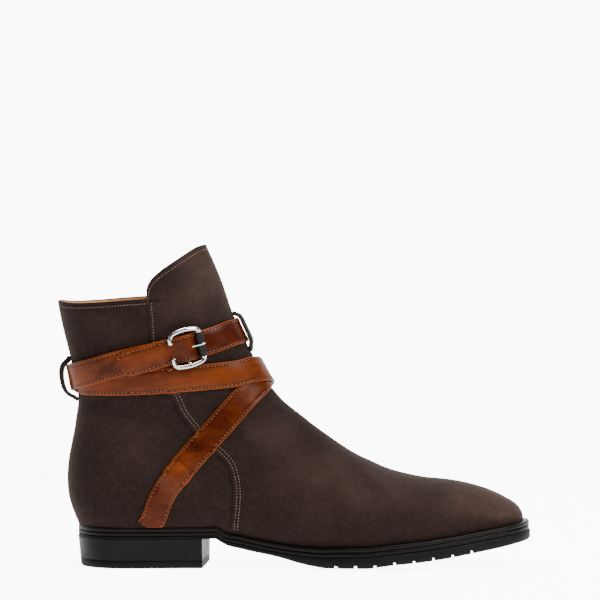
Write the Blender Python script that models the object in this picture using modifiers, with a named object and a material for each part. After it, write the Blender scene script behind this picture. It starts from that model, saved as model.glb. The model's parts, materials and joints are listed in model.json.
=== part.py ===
"""A jodhpur boot for the right foot: a suede upper on a stacked sole, with two long straps crossed round the ankle.

Metres, +Z up, toe towards +X, outer side of the foot towards -Y. The origin is the centre of the heel's ground face.
Inside this script, distances along the foot run from the back of the sole's edge, and HEEL_LENGTH / 2 is taken off
when a mesh is made. Table columns are shares of the named sizes.
"""

import itertools
import math

import bmesh
import bpy
import numpy as np

MM = 0.001

# Overall sizes
SOLE_LENGTH = 304 * MM
BALL_WIDTH = 96 * MM  # of the foot's outline at the feather line, where upper and welt meet
BOOT_HEIGHT = 215 * MM  # floor to the tip of the flap

# Upper
WALL = 2.2 * MM
GAP = 0.3 * MM  # between pieces that lie on each other
SEAT = 0.45 * MM  # between the upper and what is wrapped round it
SIDE_BULGE = 8 * MM  # most that a side stands out past the feather line
BULGE_RISE = 14 * MM  # height over which it does so
HEEL_ROUND = 33 * MM  # depth of the round back of the heel, seen from above
HEEL_ROUND_SHAPE = 2.1  # power of the round: 2 is an ellipse, more is squarer
TOE_ROUND = 25 * MM
TOE_ROUND_SHAPE = 2.6
TOE_SWING = 6 * MM  # the toe's centre lies this far towards the inner side
ANKLE_WIDTH = 64 * MM
SHAFT_FROM, SHAFT_TO = 45 * MM, 100 * MM  # heights between which the foot's widths give way to the shaft's
FRONT_REACH = 74 * MM  # how far back from the ridge the instep's rounding reaches

# Sole
WELT_LEDGE = 4.0 * MM
OUTSOLE_PROUD = 0.8 * MM
WELT_THICKNESS = 3.1 * MM
WELT_BAND = 9 * MM  # width of the welt ring under the upper
MIDSOLE_THICKNESS = 3.3 * MM
OUTSOLE_THICKNESS = 7.2 * MM
EDGE_RISE = 1.6 * MM  # the outsole's edge lies this much above its middle
INSOLE_THICKNESS = 3.0 * MM
TOE_CLEARANCE = 5 * MM  # the insole stops this much further back, where the toe wall leans over it
GROOVE_PITCH = 13 * MM
GROOVE_WIDTH = 2.2 * MM
GROOVE_DEPTH = 1.7 * MM
GROOVES = 8
FIRST_GROOVE = 0.568  # share of the sole's length

# Heel
HEEL_HEIGHT = 19.8 * MM
HEEL_LENGTH = 83.5 * MM
HEEL_TAPER = 1.8 * MM
BREAST_SLANT = 4 * MM  # the breast's inner end lies this much further forward
TOP_LIFT = 5 * MM
LIFT_ROUND = 1.5 * MM

# Straps
STRAP_WIDTH = 17.4 * MM
STRAP_THICKNESS = 1.8 * MM
LAYER = STRAP_THICKNESS + GAP
TIP_LENGTH = 10.6 * MM
TAB_WIDTH = 16.4 * MM
TAB_LENGTH = 43 * MM
TAB_OVERLAP = 13 * MM  # of the tab over the end of its strap
LOOP_THICKNESS = 2.2 * MM
BACK_LOOP_WIDTH = 10 * MM
FRONT_LOOP_WIDTH = 9 * MM

# Buckle
WIRE = 3.4 * MM
FRAME_ALONG = 23 * MM
FRAME_ACROSS = 26.4 * MM
FRAME_CORNER = 3.6 * MM
STUB_GAP = 8.4 * MM  # the opening in the frame's back side
BAR_DIAMETER = 2.4 * MM
PIN_DIAMETER = 2.2 * MM  # the frame's front side, inside the roller
ROLLER_DIAMETER = 5.2 * MM
CHAPE_THICKNESS = 1.1 * MM
PRONG_DIAMETER = 1.6 * MM
RUNNING_GAP = 0.2 * MM

AROUND = 56  # points around an outline
SPREAD = 0.1  # draws them from the toe and heel towards the waist
RING_SPACING, RING_BEND = 21 * MM, 0.30  # rings of the upper: most distance and bend between two, on the front


def table(columns, *rows):
    """Rows of numbers under named columns."""
    return dict(zip(columns.split(), np.array(rows, float).T))


# Plan of the feather line and what stands out from it. along: share of SOLE_LENGTH. lateral, medial: half widths,
# shares of BALL_WIDTH / 2. out_lateral, out_medial: shares of SIDE_BULGE. ledge: share of WELT_LEDGE.
PLAN = table(
    "along lateral medial out_lateral out_medial ledge",
    (0.000, 0.688, 0.688, 0.19, 0.19, 0.08),
    (0.120, 0.688, 0.688, 0.25, 0.25, 0.10),
    (0.270, 0.631, 0.594, 0.38, 0.50, 0.22),
    (0.395, 0.646, 0.510, 0.56, 1.00, 0.55),
    (0.515, 0.844, 0.667, 0.50, 0.88, 0.85),
    (0.620, 1.006, 0.865, 0.40, 0.62, 0.95),
    (0.710, 1.000, 0.944, 0.38, 0.44, 1.00),
    (0.810, 0.850, 0.854, 0.31, 0.35, 1.00),
    (0.900, 0.604, 0.677, 0.25, 0.25, 1.00),
    (1.000, 0.420, 0.500, 0.12, 0.12, 1.00),
)

# The sole from the side. under: height of its underside, share of HEEL_HEIGHT. outsole, midsole: thickness at the
# edge, shares of OUTSOLE_THICKNESS and MIDSOLE_THICKNESS.
SOLE = table(
    "along under outsole midsole",
    (0.000, 1.000, 0.26, 0.79),
    (0.270, 1.000, 0.26, 0.79),
    (0.303, 1.000, 0.27, 0.79),
    (0.324, 0.770, 0.30, 0.79),
    (0.360, 0.610, 0.33, 0.80),
    (0.447, 0.325, 0.40, 0.82),
    (0.495, 0.130, 0.69, 0.88),
    (0.545, 0.000, 0.92, 0.95),
    (0.635, 0.000, 1.03, 1.00),
    (0.690, 0.106, 1.00, 1.00),
    (0.757, 0.197, 1.00, 1.00),
    (0.836, 0.364, 0.97, 1.00),
    (0.934, 0.616, 0.90, 1.00),
    (1.000, 0.800, 0.86, 1.00),
)

# Front silhouette from just above the toe's feather line, over the vamp and instep, up to the flap's tip.
# along: share of SOLE_LENGTH. height: share of BOOT_HEIGHT.
FRONT = table(
    "along height",
    (0.9838, 0.1535),
    (0.9785, 0.1726),
    (0.9655, 0.1916),
    (0.9428, 0.2107),
    (0.9112, 0.2316),
    (0.8750, 0.2484),
    (0.8168, 0.2647),
    (0.7625, 0.2726),
    (0.7089, 0.2902),
    (0.6546, 0.3186),
    (0.6007, 0.3572),
    (0.5467, 0.4093),
    (0.4928, 0.4674),
    (0.4497, 0.5172),
    (0.4184, 0.5721),
    (0.3898, 0.6437),
    (0.3447, 0.7730),
    (0.3128, 0.9014),
    (0.2822, 1.0000),
)

# Back silhouette from just above the heel's feather line to the collar, in the same shares.
BACK = table(
    "along height",
    (-0.0115, 0.1674),
    (-0.0217, 0.2140),
    (-0.0253, 0.2698),
    (-0.0230, 0.3256),
    (-0.0161, 0.3814),
    (-0.0062, 0.4465),
    (-0.0010, 0.5163),
    (-0.0079, 0.5814),
    (-0.0168, 0.6405),
    (-0.0270, 0.6977),
    (-0.0372, 0.7567),
    (-0.0462, 0.8235),
)

# The collar's edge and the flap's, from the back to the flap's tip. part: how far round, 0 to 1.
COLLAR = table(
    "part along height",
    (0.00, -0.0462, 0.8235),
    (0.12, -0.0130, 0.8186),
    (0.25, 0.0395, 0.8214),
    (0.38, 0.0987, 0.8280),
    (0.50, 0.1540, 0.8335),
)
FLAP = table(
    "part along height",
    (0.50, 0.1540, 0.8335),
    (0.56, 0.1556, 0.8674),
    (0.62, 0.1628, 0.8898),
    (0.69, 0.1793, 0.9135),
    (0.77, 0.2039, 0.9377),
    (0.86, 0.2336, 0.9656),
    (0.94, 0.2632, 0.9912),
    (1.00, 0.2822, 1.0000),
)

# Half widths of the shaft, shares of ANKLE_WIDTH / 2, the depth of the round back and how far back from the front the
# rounding reaches, shares of HEEL_ROUND and FRONT_REACH. height: share of BOOT_HEIGHT.
SHAFT = table(
    "height width back_round front_reach",
    (0.13, 1.03, 1.00, 0.62),
    (0.28, 1.03, 1.05, 0.62),
    (0.40, 0.95, 1.10, 0.75),
    (0.50, 0.93, 1.15, 0.92),
    (0.60, 0.95, 1.20, 1.00),
    (0.72, 0.99, 1.25, 0.88),
    (0.83, 1.03, 1.25, 0.82),
    (1.00, 0.97, 1.25, 0.78),
)

# How square the cross-section of the foot is over the ridge, as the power of its round.
RIDGE_SHAPE = table(
    "along lateral medial",
    (0.30, 2.0, 2.0),
    (0.50, 2.0, 2.1),
    (0.65, 2.1, 2.4),
    (0.80, 2.2, 2.5),
    (1.00, 2.4, 2.5),
)

FEATHER_TOE = SOLE_LENGTH - WELT_LEDGE - OUTSOLE_PROUD
FEATHER_BACK = 0.0


def curve(rows, column, at):
    """Smooth curve through one column of a table, read at places given in its first column."""
    knots = rows[next(iter(rows))]
    values = rows[column]
    slopes = np.gradient(values, knots)
    at = np.clip(np.asarray(at, float), knots[0], knots[-1])
    i = np.clip(np.searchsorted(knots, at) - 1, 0, len(knots) - 2)
    step = knots[i + 1] - knots[i]
    t = (at - knots[i]) / step
    start = (1 + 2 * t) * (1 - t) ** 2 * values[i] + t * (1 - t) ** 2 * step * slopes[i]
    end = t * t * (3 - 2 * t) * values[i + 1] + t * t * (t - 1) * step * slopes[i + 1]
    return start + end


def smooth(value, low, high):
    """0 below low, 1 above high, and an even rise between."""
    t = np.clip((np.asarray(value, float) - low) / (high - low), 0, 1)
    return t * t * (3 - 2 * t)


def rounded(depth, power):
    """Height of a round edge at a depth from 0, its foot, to 1, where it is full."""
    return (1 - (1 - np.clip(depth, 0, 1)) ** power) ** (1 / power)


def line_through(points, count):
    """Points evenly spaced on a smooth line through the points given."""
    points = np.array(points, float)
    length = np.concatenate([[0], np.cumsum(np.linalg.norm(np.diff(points, axis=0), axis=1))])
    rows = {"length": length, "x": points[:, 0], "z": points[:, 1]}
    fine = np.linspace(0, length[-1], 4 * count)
    dense = np.stack([curve(rows, "x", fine), curve(rows, "z", fine)], axis=1)
    run = np.concatenate([[0], np.cumsum(np.linalg.norm(np.diff(dense, axis=0), axis=1))])
    even = np.linspace(0, run[-1], count)
    return np.stack([np.interp(even, run, dense[:, k]) for k in (0, 1)], axis=1)


# Heights of the sole's layers


def edge_height(x, layer):
    """Height at the sole's edge: 0 under the outsole, 1 its top, 2 the midsole's top, 3 the welt's."""
    along = x / SOLE_LENGTH
    under = np.clip(curve(SOLE, "under", along), 0, 1) * HEEL_HEIGHT
    height = under + EDGE_RISE * smooth(along, 0.28, 0.36)
    if layer > 0:
        height = height + curve(SOLE, "outsole", along) * OUTSOLE_THICKNESS
    if layer > 1:
        height = height + curve(SOLE, "midsole", along) * MIDSOLE_THICKNESS
    if layer > 2:
        height = height + WELT_THICKNESS
    return height


def underside(x, out):
    """Height of the outsole's underside, out from 0 at its middle to 1 at its edge."""
    along = x / SOLE_LENGTH
    under = np.clip(curve(SOLE, "under", along), 0, 1) * HEEL_HEIGHT
    return under + EDGE_RISE * smooth(along, 0.28, 0.36) * smooth(out, 0.55, 1.35) * 2


# The last's shape, as a half width at each place of the side view


def spine(x):
    return TOE_SWING * smooth(x / SOLE_LENGTH, 0.42, 1.0)


def plan_half(x, side):
    """Half width of the feather line, round at the toe but not yet at the heel. side: lateral or medial."""
    half = curve(PLAN, side, x / SOLE_LENGTH) * BALL_WIDTH / 2
    return half * rounded((FEATHER_TOE - x) / TOE_ROUND, TOE_ROUND_SHAPE)


def silhouettes():
    toe = (FEATHER_TOE, float(edge_height(FEATHER_TOE, 3)) + GAP)
    heel = (FEATHER_BACK, float(edge_height(FEATHER_BACK, 3)) + GAP)
    front = [toe, *zip(FRONT["along"] * SOLE_LENGTH, FRONT["height"] * BOOT_HEIGHT)]
    back = [heel, *zip(BACK["along"] * SOLE_LENGTH, BACK["height"] * BOOT_HEIGHT)]
    return line_through(front, 150), line_through(back, 80)


FRONT_LINE, BACK_LINE = silhouettes()


def on_line(line, part):
    places = np.linspace(0, 1, len(line))
    return np.stack([np.interp(part, places, line[:, k]) for k in (0, 1)], axis=-1)


def front_distance(x, z):
    """Distance from places of the side view to the front silhouette, and the height of its nearest point."""
    start, end = FRONT_LINE[:-1], FRONT_LINE[1:]
    run = end - start
    offset = np.stack([x, z], axis=-1)[..., None, :] - start
    t = np.clip((offset * run).sum(-1) / (run * run).sum(-1), 0, 1)
    distance = np.linalg.norm(offset - t[..., None] * run, axis=-1)
    nearest = distance.argmin(-1)
    height = start[nearest, 1] + np.take_along_axis(t, nearest[..., None], -1)[..., 0] * run[nearest, 1]
    return distance.min(-1), height


def half_width(x, z, side):
    """Half width of the upper at places of the side view."""
    along = x / SOLE_LENGTH
    feather = edge_height(x, 3) + GAP
    uphill = FRONT_LINE[::-1]
    ridge = np.interp(x, uphill[:, 0], uphill[:, 1])
    section = np.maximum(ridge - feather, 1e-6)
    above = np.maximum(z - feather, 0)
    rise = above / np.minimum(BULGE_RISE, 0.5 * section + 1e-6)
    toe_fade = rounded((FEATHER_TOE - x) / TOE_ROUND, TOE_ROUND_SHAPE)
    bulge = curve(PLAN, "out_" + side, along) * SIDE_BULGE * toe_fade
    foot = plan_half(x, side) + bulge * (1 - (1 - np.clip(rise, 0, 1)) ** 2)
    height = z / BOOT_HEIGHT
    shaft = curve(SHAFT, "width", height) * ANKLE_WIDTH / 2
    full = foot + (shaft - foot) * smooth(z, SHAFT_FROM, SHAFT_TO) * (1 - smooth(along, 0.5, 0.75))
    power = curve(RIDGE_SHAPE, side, along)
    distance, near_height = front_distance(x, z)
    reach = curve(SHAFT, "front_reach", near_height / BOOT_HEIGHT) * FRONT_REACH
    over_foot = rounded(1 - above / section, power)
    over_shaft = rounded(distance / reach, power)
    front = over_shaft + (over_foot - over_shaft) * smooth(along, 0.5, 0.68)
    heel_line = np.interp(z, BACK_LINE[:, 1], BACK_LINE[:, 0])
    back = rounded((x - heel_line) / (HEEL_ROUND * curve(SHAFT, "back_round", height)), HEEL_ROUND_SHAPE)
    return full * front * back


# The upper's surface: level 0 at the feather line to 1 at the collar, turn round the foot from the heel over the
# lateral side to the front at pi, and back over the medial side.


def collar_line(part):
    part = np.asarray(part, float)
    halves = []
    for column, size in (("along", SOLE_LENGTH), ("height", BOOT_HEIGHT)):
        halves.append(np.where(part <= 0.5, curve(COLLAR, column, part), curve(FLAP, column, part)) * size)
    return np.stack(halves, axis=-1)


def feather_line(part):
    x = FEATHER_BACK + (FEATHER_TOE - FEATHER_BACK) * np.asarray(part, float)
    return np.stack([x, edge_height(x, 3) + GAP], axis=-1)


def side_view(level, part):
    """Place in the side view, blended between the four edges of the upper."""
    level, part = np.broadcast_arrays(level, part)
    low, high = feather_line(part), collar_line(part)
    back, front = on_line(BACK_LINE, level), on_line(FRONT_LINE, level)
    up, forward = level[..., None], part[..., None]
    ends = []
    for edge, end in ((back, 0.0), (front, 1.0)):
        ends.append(edge - ((1 - up) * feather_line(end) + up * collar_line(end)))
    return (1 - up) * low + up * high + (1 - forward) * ends[0] + forward * ends[1]


def surface(level, turn):
    level, turn = np.broadcast_arrays(np.clip(level, 0, 1), turn)
    place = side_view(level, (1 - np.cos(turn)) / 2)
    x, z = place[..., 0], place[..., 1]
    lateral = np.sin(turn) >= 0
    half = np.where(lateral, -half_width(x, z, "lateral"), half_width(x, z, "medial"))
    return np.stack([x, spine(x) + half, z], axis=-1)


def slopes_of(level, turn, step=2e-3):
    low, high = np.clip(level - step, 0, 1), np.clip(level + step, 0, 1)
    up = (surface(high, turn) - surface(low, turn)) / (high - low)[..., None]
    round_it = (surface(level, turn + step) - surface(level, turn - step)) / (2 * step)
    return up, round_it


def unit(vectors):
    return vectors / np.linalg.norm(vectors, axis=-1, keepdims=True)


def outward(level, turn):
    up, round_it = slopes_of(level, turn)
    return unit(np.cross(round_it, up))


def find(along, height):
    """Level and turn of a place on the lateral side, given in the side view."""
    target = np.array([along, height])
    levels, parts = np.meshgrid(np.linspace(0, 1, 41), np.linspace(0, 1, 41))
    gaps = np.linalg.norm(side_view(levels, parts) - target, axis=-1)
    best = np.unravel_index(gaps.argmin(), gaps.shape)
    guess = np.array([levels[best], parts[best]])
    for _ in range(8):
        here = side_view(*guess)
        step = 1e-4
        slope = np.stack(
            [(side_view(guess[0] + step, guess[1]) - here) / step, (side_view(guess[0], guess[1] + step) - here) / step],
            axis=1,
        )
        guess = np.clip(guess + np.linalg.solve(slope, target - here), 0.0, 0.9998)
    return guess[0], math.acos(1 - 2 * guess[1])


# Routes of the straps over the upper

ROUTE_STEP = 5 * MM


class Route:
    """A line on the upper that goes round the ankle. Its rows are (leg, along, height), in real sizes: leg 0 is on the
    side it starts from, leg 1 on the other, and so on. along is None for a place on the front or back silhouette,
    between two legs. A mirrored route starts on the medial side."""

    def __init__(self, rows, mirrored):
        self.side = -1 if mirrored else 1
        places = []
        for leg, along, height in self.denser(rows):
            level, turn = self.edge_place(leg, height) if along is None else find(along, height)
            places.append((level, leg * math.pi + turn if leg % 2 == 0 else (leg + 1) * math.pi - turn))
        places = np.array(places)
        points = surface(places[:, 0], self.side * places[:, 1])
        knots = np.concatenate([[0], np.cumsum(np.linalg.norm(np.diff(points, axis=0), axis=1))])
        rows = {"knot": knots, "level": places[:, 0], "turn": places[:, 1]}
        fine = np.linspace(0, knots[-1], 900)
        self.level, self.turn = curve(rows, "level", fine), curve(rows, "turn", fine)
        line = surface(self.level, self.side * self.turn)
        self.run = np.concatenate([[0], np.cumsum(np.linalg.norm(np.diff(line, axis=0), axis=1))])

    @staticmethod
    def denser(rows):
        """The rows, with more between neighbours on one leg, on a smooth line through them in the side view."""
        more = []
        for (_, on_side), group in itertools.groupby(rows, key=lambda row: (row[0], row[1] is not None)):
            group = list(group)
            if on_side and len(group) > 1:
                points = np.array([row[1:] for row in group])
                length = np.linalg.norm(np.diff(points, axis=0), axis=1).sum()
                line = line_through(points, int(length / ROUTE_STEP) + 2)
                group = [(group[0][0], x, z) for x, z in line]
            more += group
        return more

    @staticmethod
    def edge_place(leg, height):
        """A leg that is even ends at the front, an odd one at the back."""
        line = FRONT_LINE if leg % 2 == 0 else BACK_LINE
        rising = line if line is BACK_LINE else line[len(line) // 5 :]
        level = np.interp(height, rising[:, 1], np.linspace(1 - len(rising) / len(line), 1, len(rising)))
        return level, math.pi if leg % 2 == 0 else 0.0

    def at(self, run):
        return np.interp(run, self.run, self.level), self.side * np.interp(run, self.run, self.turn)

    def place(self, run, across, out):
        """Point at a run along the line, across it (up is positive) and out from the upper."""
        run, across, out = np.broadcast_arrays(*(np.asarray(v, float) for v in (run, across, out)))
        level, turn = self.at(run)
        here = surface(level, turn)
        step = 1.5 * MM
        before, after = surface(*self.at(run - step)), surface(*self.at(run + step))
        ahead = unit(after - before)
        normal = outward(level, turn)
        sideways = unit(np.cross(normal, ahead)) * self.side
        target = here + sideways * across[..., None]
        for _ in range(4):
            slopes = np.stack(slopes_of(level, turn), axis=-1)
            moved = np.einsum("...ij,...j->...i", np.linalg.pinv(slopes), target - surface(level, turn))
            level = np.clip(level + moved[..., 0], 0.001, 0.999)
            turn = turn + moved[..., 1]
        return surface(level, turn) + outward(level, turn) * out[..., None]

    def stations(self, start, end, stops=(), spacing=10 * MM, bend=0.22):
        """Runs from start to end, closer together where the line bends round the upper, with the stops among them."""
        fine = np.linspace(start, end, 400)
        normals = outward(*self.at(fine))
        turned = np.arccos(np.clip((normals[1:] * normals[:-1]).sum(-1), -1, 1))
        effort = np.concatenate([[0], np.cumsum(np.diff(fine) / spacing + turned / bend)])
        even = np.interp(np.linspace(0, effort[-1], int(effort[-1]) + 2), effort, fine)
        stops = np.array([stop for stop in stops if start < stop < end])
        apart = [run for run in even if not np.any(np.abs(stops - run) < 2 * MM) or run in (even[0], even[-1])]
        return np.sort(np.concatenate([apart, stops]))


def run_near(route, leg, along):
    """The run at which a route passes this far along the foot on one of its legs."""
    on_leg = (route.turn >= leg * math.pi) & (route.turn <= (leg + 1) * math.pi)
    x = surface(route.level, route.side * route.turn)[on_leg, 0]
    order = np.argsort(x)
    return float(np.interp(along, x[order], route.run[on_leg][order]))


# The buckle's centre and tilt on the lateral side, which both straps pass through
BUCKLE_ALONG = 72.4 * MM
BUCKLE_HEIGHT = 147.2 * MM
BUCKLE_TILT = math.radians(13.8)
BUCKLE_RUN = 12 * MM  # the straps run straight this far each side of it

# Places where a strap changes its layer, shares of SOLE_LENGTH along the foot: the buckle's strap rises over the tip's
# on the inner side and comes down where the two part, and the tip's strap rises over the crossing on the front.
LAYER_UP = (0.290, 0.237)
STRAPS_PART = 0.184
CROSS_UP = (0.306, 0.352)
CROSS_DOWN = (0.332, 0.283)
TIP_CORNER = 0.1125
TIP_LAYER = 3.16

# Where the two straps pass: the tab, the diagonal, the crossing on the front, the low leg round the back, and the
# rise from the back to the buckle. along and height: shares of SOLE_LENGTH and BOOT_HEIGHT.
DIAGONAL = ((0.1660, 0.150), (0.1910, 0.234), (0.2285, 0.3065), (0.3075, 0.4330), (0.3600, 0.5180))
CROSSING = 0.602
LOW_LEG = ((0.3380, 0.5990), (0.2470, 0.5895), (0.1390, 0.5795), (0.0240, 0.5765))
BACK_PASS = 0.5880
HIGH_LEG = ((0.0150, 0.6020), (0.0850, 0.6335))
HIGH_FRONT = ((0.3100, 0.7125),)
HIGH_RIDGE = 0.7330


def leg_rows(leg, shares):
    return [(leg, along * SOLE_LENGTH, height * BOOT_HEIGHT) for along, height in shares]


def buckle_rows(leg):
    """Three places in line through the buckle's centre, from its back to its front."""
    rows = []
    for run in (-BUCKLE_RUN, 0, BUCKLE_RUN):
        along = BUCKLE_ALONG + run * math.cos(BUCKLE_TILT)
        rows.append((leg, along, BUCKLE_HEIGHT + run * math.sin(BUCKLE_TILT)))
    return rows


def strap_start():
    rows = leg_rows(0, DIAGONAL)
    rows.append((0, None, CROSSING * BOOT_HEIGHT))
    rows += leg_rows(1, LOW_LEG)
    rows.append((1, None, BACK_PASS * BOOT_HEIGHT))
    return rows + leg_rows(2, HIGH_LEG)


def buckle_route():
    route = Route(strap_start() + buckle_rows(2), mirrored=False)
    return route, run_near(route, 2, BUCKLE_ALONG)


TIP_BEYOND = ((0.1330, 0.6460), (0.0900, 0.6300), (0.0500, 0.6150))


def tip_route():
    rows = strap_start() + buckle_rows(2)[1:2] + leg_rows(2, HIGH_FRONT)
    rows.append((2, None, HIGH_RIDGE * BOOT_HEIGHT))
    rows += leg_rows(3, HIGH_FRONT)
    rows += buckle_rows(3)[::-1]
    rows += leg_rows(3, TIP_BEYOND)
    route = Route(rows, mirrored=True)
    return route, run_near(route, 3, BUCKLE_ALONG)


# Meshes


def collection(name):
    made = bpy.data.collections.new(name)
    bpy.context.scene.collection.children.link(made)
    return made


def material(name, color, roughness, metallic=0.0):
    made = bpy.data.materials.new(name)
    made.use_nodes = True
    shader = made.node_tree.nodes["Principled BSDF"]
    shader.inputs["Base Color"].default_value = (*color, 1.0)
    shader.inputs["Roughness"].default_value = roughness
    shader.inputs["Metallic"].default_value = metallic
    return made


def add_object(name, points, faces, group, finish):
    """A mesh object with its faces pointing out, its points moved to the boot's own frame."""
    shift = np.array([HEEL_LENGTH / 2, 0, 0])
    mesh = bpy.data.meshes.new(name)
    mesh.from_pydata([tuple(p) for p in points - shift], [], faces)
    cleaner = bmesh.new()
    cleaner.from_mesh(mesh)
    bmesh.ops.recalc_face_normals(cleaner, faces=cleaner.faces)
    cleaner.to_mesh(mesh)
    cleaner.free()
    mesh.materials.append(finish)
    mesh.shade_smooth()
    mesh.set_sharp_from_angle(angle=math.radians(40))
    made = bpy.data.objects.new(name, mesh)
    group.objects.link(made)
    return made


def loft(name, rings, group, finish, ends="capped"):
    """A solid through rings of as many points each. ends is capped, joined or open. A cap joins opposite points."""
    rings = np.array(rings)
    count, around = rings.shape[:2]
    faces = []
    for r in range(count if ends == "joined" else count - 1):
        near, far = r * around, (r + 1) % count * around
        for j in range(around):
            k = (j + 1) % around
            faces.append((near + j, near + k, far + k, far + j))
    if ends == "capped":
        for base in (0, (count - 1) * around):
            for j in range(around // 2 - 1):
                faces.append((base + j, base + j + 1, base + around - 2 - j, base + around - 1 - j))
    return add_object(name, rings.reshape(-1, 3), faces, group, finish)


def even_turns(count):
    """Turns round the foot, in pairs that lie opposite each other."""
    turns = (np.arange(count) + 0.5) * 2 * math.pi / count
    return turns + SPREAD * np.sin(2 * turns)


def outline(turns, grow):
    """The feather line from above, grown outwards by a distance that may differ from point to point."""
    step = 1e-3

    def flat(turn):
        part = (1 - np.cos(turn)) / 2
        x = FEATHER_BACK + (FEATHER_TOE - FEATHER_BACK) * part
        back = rounded((x - FEATHER_BACK) / HEEL_ROUND, HEEL_ROUND_SHAPE)
        lateral = np.sin(turn) >= 0
        half = np.where(lateral, -plan_half(x, "lateral"), plan_half(x, "medial"))
        return np.stack([x, spine(x) + half * back], axis=-1)

    here = flat(turns)
    ahead = unit(flat(turns + step) - flat(turns - step))
    normal = np.stack([ahead[:, 1], -ahead[:, 0]], axis=-1)
    return here + normal * np.broadcast_to(grow, turns.shape)[:, None]


def ledge(turns, share=1.0):
    """How far the sole's edge stands out past the feather line."""
    x = FEATHER_BACK + (FEATHER_TOE - FEATHER_BACK) * (1 - np.cos(turns)) / 2
    return curve(PLAN, "ledge", x / SOLE_LENGTH) * WELT_LEDGE * share


def inward(flat, share):
    """Points of an outline drawn in towards the foot's middle line. share 1 leaves them, 0 is the line."""
    x = np.clip(flat[:, 0], HEEL_ROUND, FEATHER_TOE - 1.3 * TOE_ROUND)
    middle = np.stack([x, spine(x)], axis=-1)
    return middle + share * (flat - middle)


def raised(flat, height):
    return np.column_stack([flat, np.broadcast_to(height, len(flat))])


def build_upper(group, finish):
    runs = np.diff(FRONT_LINE, axis=0)
    bends = np.abs(np.diff(np.unwrap(np.arctan2(runs[:, 1], runs[:, 0]))))
    effort = np.cumsum(np.linalg.norm(runs, axis=1)[1:] / RING_SPACING + bends / RING_BEND)
    effort = np.concatenate([[0, 0], effort])
    places = np.linspace(0, effort[-1], int(effort[-1]) + 2)
    levels = np.interp(places, effort[1:], np.linspace(0, 1, len(effort) - 1))
    rings = surface(levels[:, None], even_turns(AROUND)[None, :])
    upper = loft("upper", rings, group, finish, ends="open")
    shell = upper.modifiers.new("wall", "SOLIDIFY")
    shell.thickness = WALL
    shell.offset = -1
    shell.use_even_offset = True


def build_insole(group, finish):
    turns = even_turns(AROUND)
    toe = smooth(outline(turns, 0)[:, 0] / SOLE_LENGTH, 0.88, 0.97)
    edge = outline(turns, -(WALL + 1.5 * GAP + TOE_CLEARANCE * toe))
    rings = []
    for share, lift in ((0.5, 0), (1, 0), (1, 1), (0.5, 1)):
        flat = inward(edge, share)
        rings.append(raised(flat, edge_height(flat[:, 0], 3) + GAP + lift * INSOLE_THICKNESS))
    loft("insole", rings, group, finish)


def build_welt(group, finish):
    turns = even_turns(AROUND)
    outer, inner = outline(turns, ledge(turns)), outline(turns, -WELT_BAND)
    rings = []
    for flat, layer, drop in ((outer, 2, 0), (outer, 3, 0), (inner, 3, 0), (inner, 2, 0)):
        rings.append(raised(flat, edge_height(flat[:, 0], layer) + (GAP if layer == 2 else 0)))
    loft("welt", rings, group, finish, ends="joined")


def build_midsole(group, finish):
    """The midsole and, inside the welt's ring, its raised filler."""
    turns = even_turns(AROUND)
    edge, filler = outline(turns, ledge(turns)), outline(turns, -(WELT_BAND + GAP))
    rings = []
    for flat, share, layer, lift in (
        (edge, 0.5, 1, GAP),
        (edge, 1, 1, GAP),
        (edge, 1, 2, 0),
        (filler, 1, 2, 0),
        (filler, 1, 3, 0),
        (filler, 0.5, 3, 0),
    ):
        drawn = inward(flat, share)
        rings.append(raised(drawn, edge_height(drawn[:, 0], layer) + lift))
    loft("midsole", rings, group, finish)


def build_outsole(group, cutters, finish):
    turns = even_turns(AROUND)
    proud = OUTSOLE_PROUD * smooth(outline(turns, 0)[:, 0] / SOLE_LENGTH, 0.4, 0.6)
    edge = outline(turns, ledge(turns) + proud)
    rings = []
    for share in (0.3, 0.62, 0.82, 1):
        flat = inward(edge, share)
        rings.append(raised(flat, underside(flat[:, 0], share)))
    for share in (1, 0.5):
        flat = inward(edge, share)
        rings.append(raised(flat, edge_height(flat[:, 0], 1)))
    outsole = loft("outsole", rings, group, finish)
    for n in range(GROOVES):
        x = FIRST_GROOVE * SOLE_LENGTH + n * GROOVE_PITCH
        depth = GROOVE_DEPTH * (1.0 if n % 2 else 0.8)
        level = float(underside(np.array(x), 1.0))
        bpy.ops.mesh.primitive_cube_add(size=1)
        cutter = bpy.context.object
        cutter.name = f"groove_{n}"
        cutter.scale = (GROOVE_WIDTH, 1.4 * BALL_WIDTH, 10 * MM)
        cutter.location = (x - HEEL_LENGTH / 2, 0, level + depth - 5 * MM)
        cutter.hide_render = True
        cutter.display_type = "WIRE"
        for owner in list(cutter.users_collection):
            owner.objects.unlink(cutter)
        cutters.objects.link(cutter)
        cut = outsole.modifiers.new(cutter.name, "BOOLEAN")
        cut.operation = "DIFFERENCE"
        cut.solver = "EXACT"
        cut.object = cutter


def heel_ring(grow, height):
    """The heel from above: round the back from breast to breast, closed by the straight breast."""
    ends = []
    for slant in (0, BREAST_SLANT):
        part = (HEEL_LENGTH + slant - FEATHER_BACK) / (FEATHER_TOE - FEATHER_BACK)
        ends.append(math.acos(1 - 2 * part))
    turns = np.linspace(ends[0], -ends[1], 30)
    return raised(outline(turns, grow + ledge(np.abs(turns))), height)


def build_heel(group, finish, lift_finish):
    top, low = HEEL_HEIGHT - GAP, TOP_LIFT + GAP
    rings = [heel_ring(-HEEL_TAPER * (top - z) / top, z) for z in (top, (top + low) / 2, low)]
    loft("heel", rings, group, finish)
    rings = [heel_ring(-HEEL_TAPER * (top - z) / top - inset, z) for z, inset in (
        (TOP_LIFT, 0),
        (LIFT_ROUND, 0),
        (0, 0.5 * LIFT_ROUND),
    )]
    loft("top_lift", rings, group, lift_finish)


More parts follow.
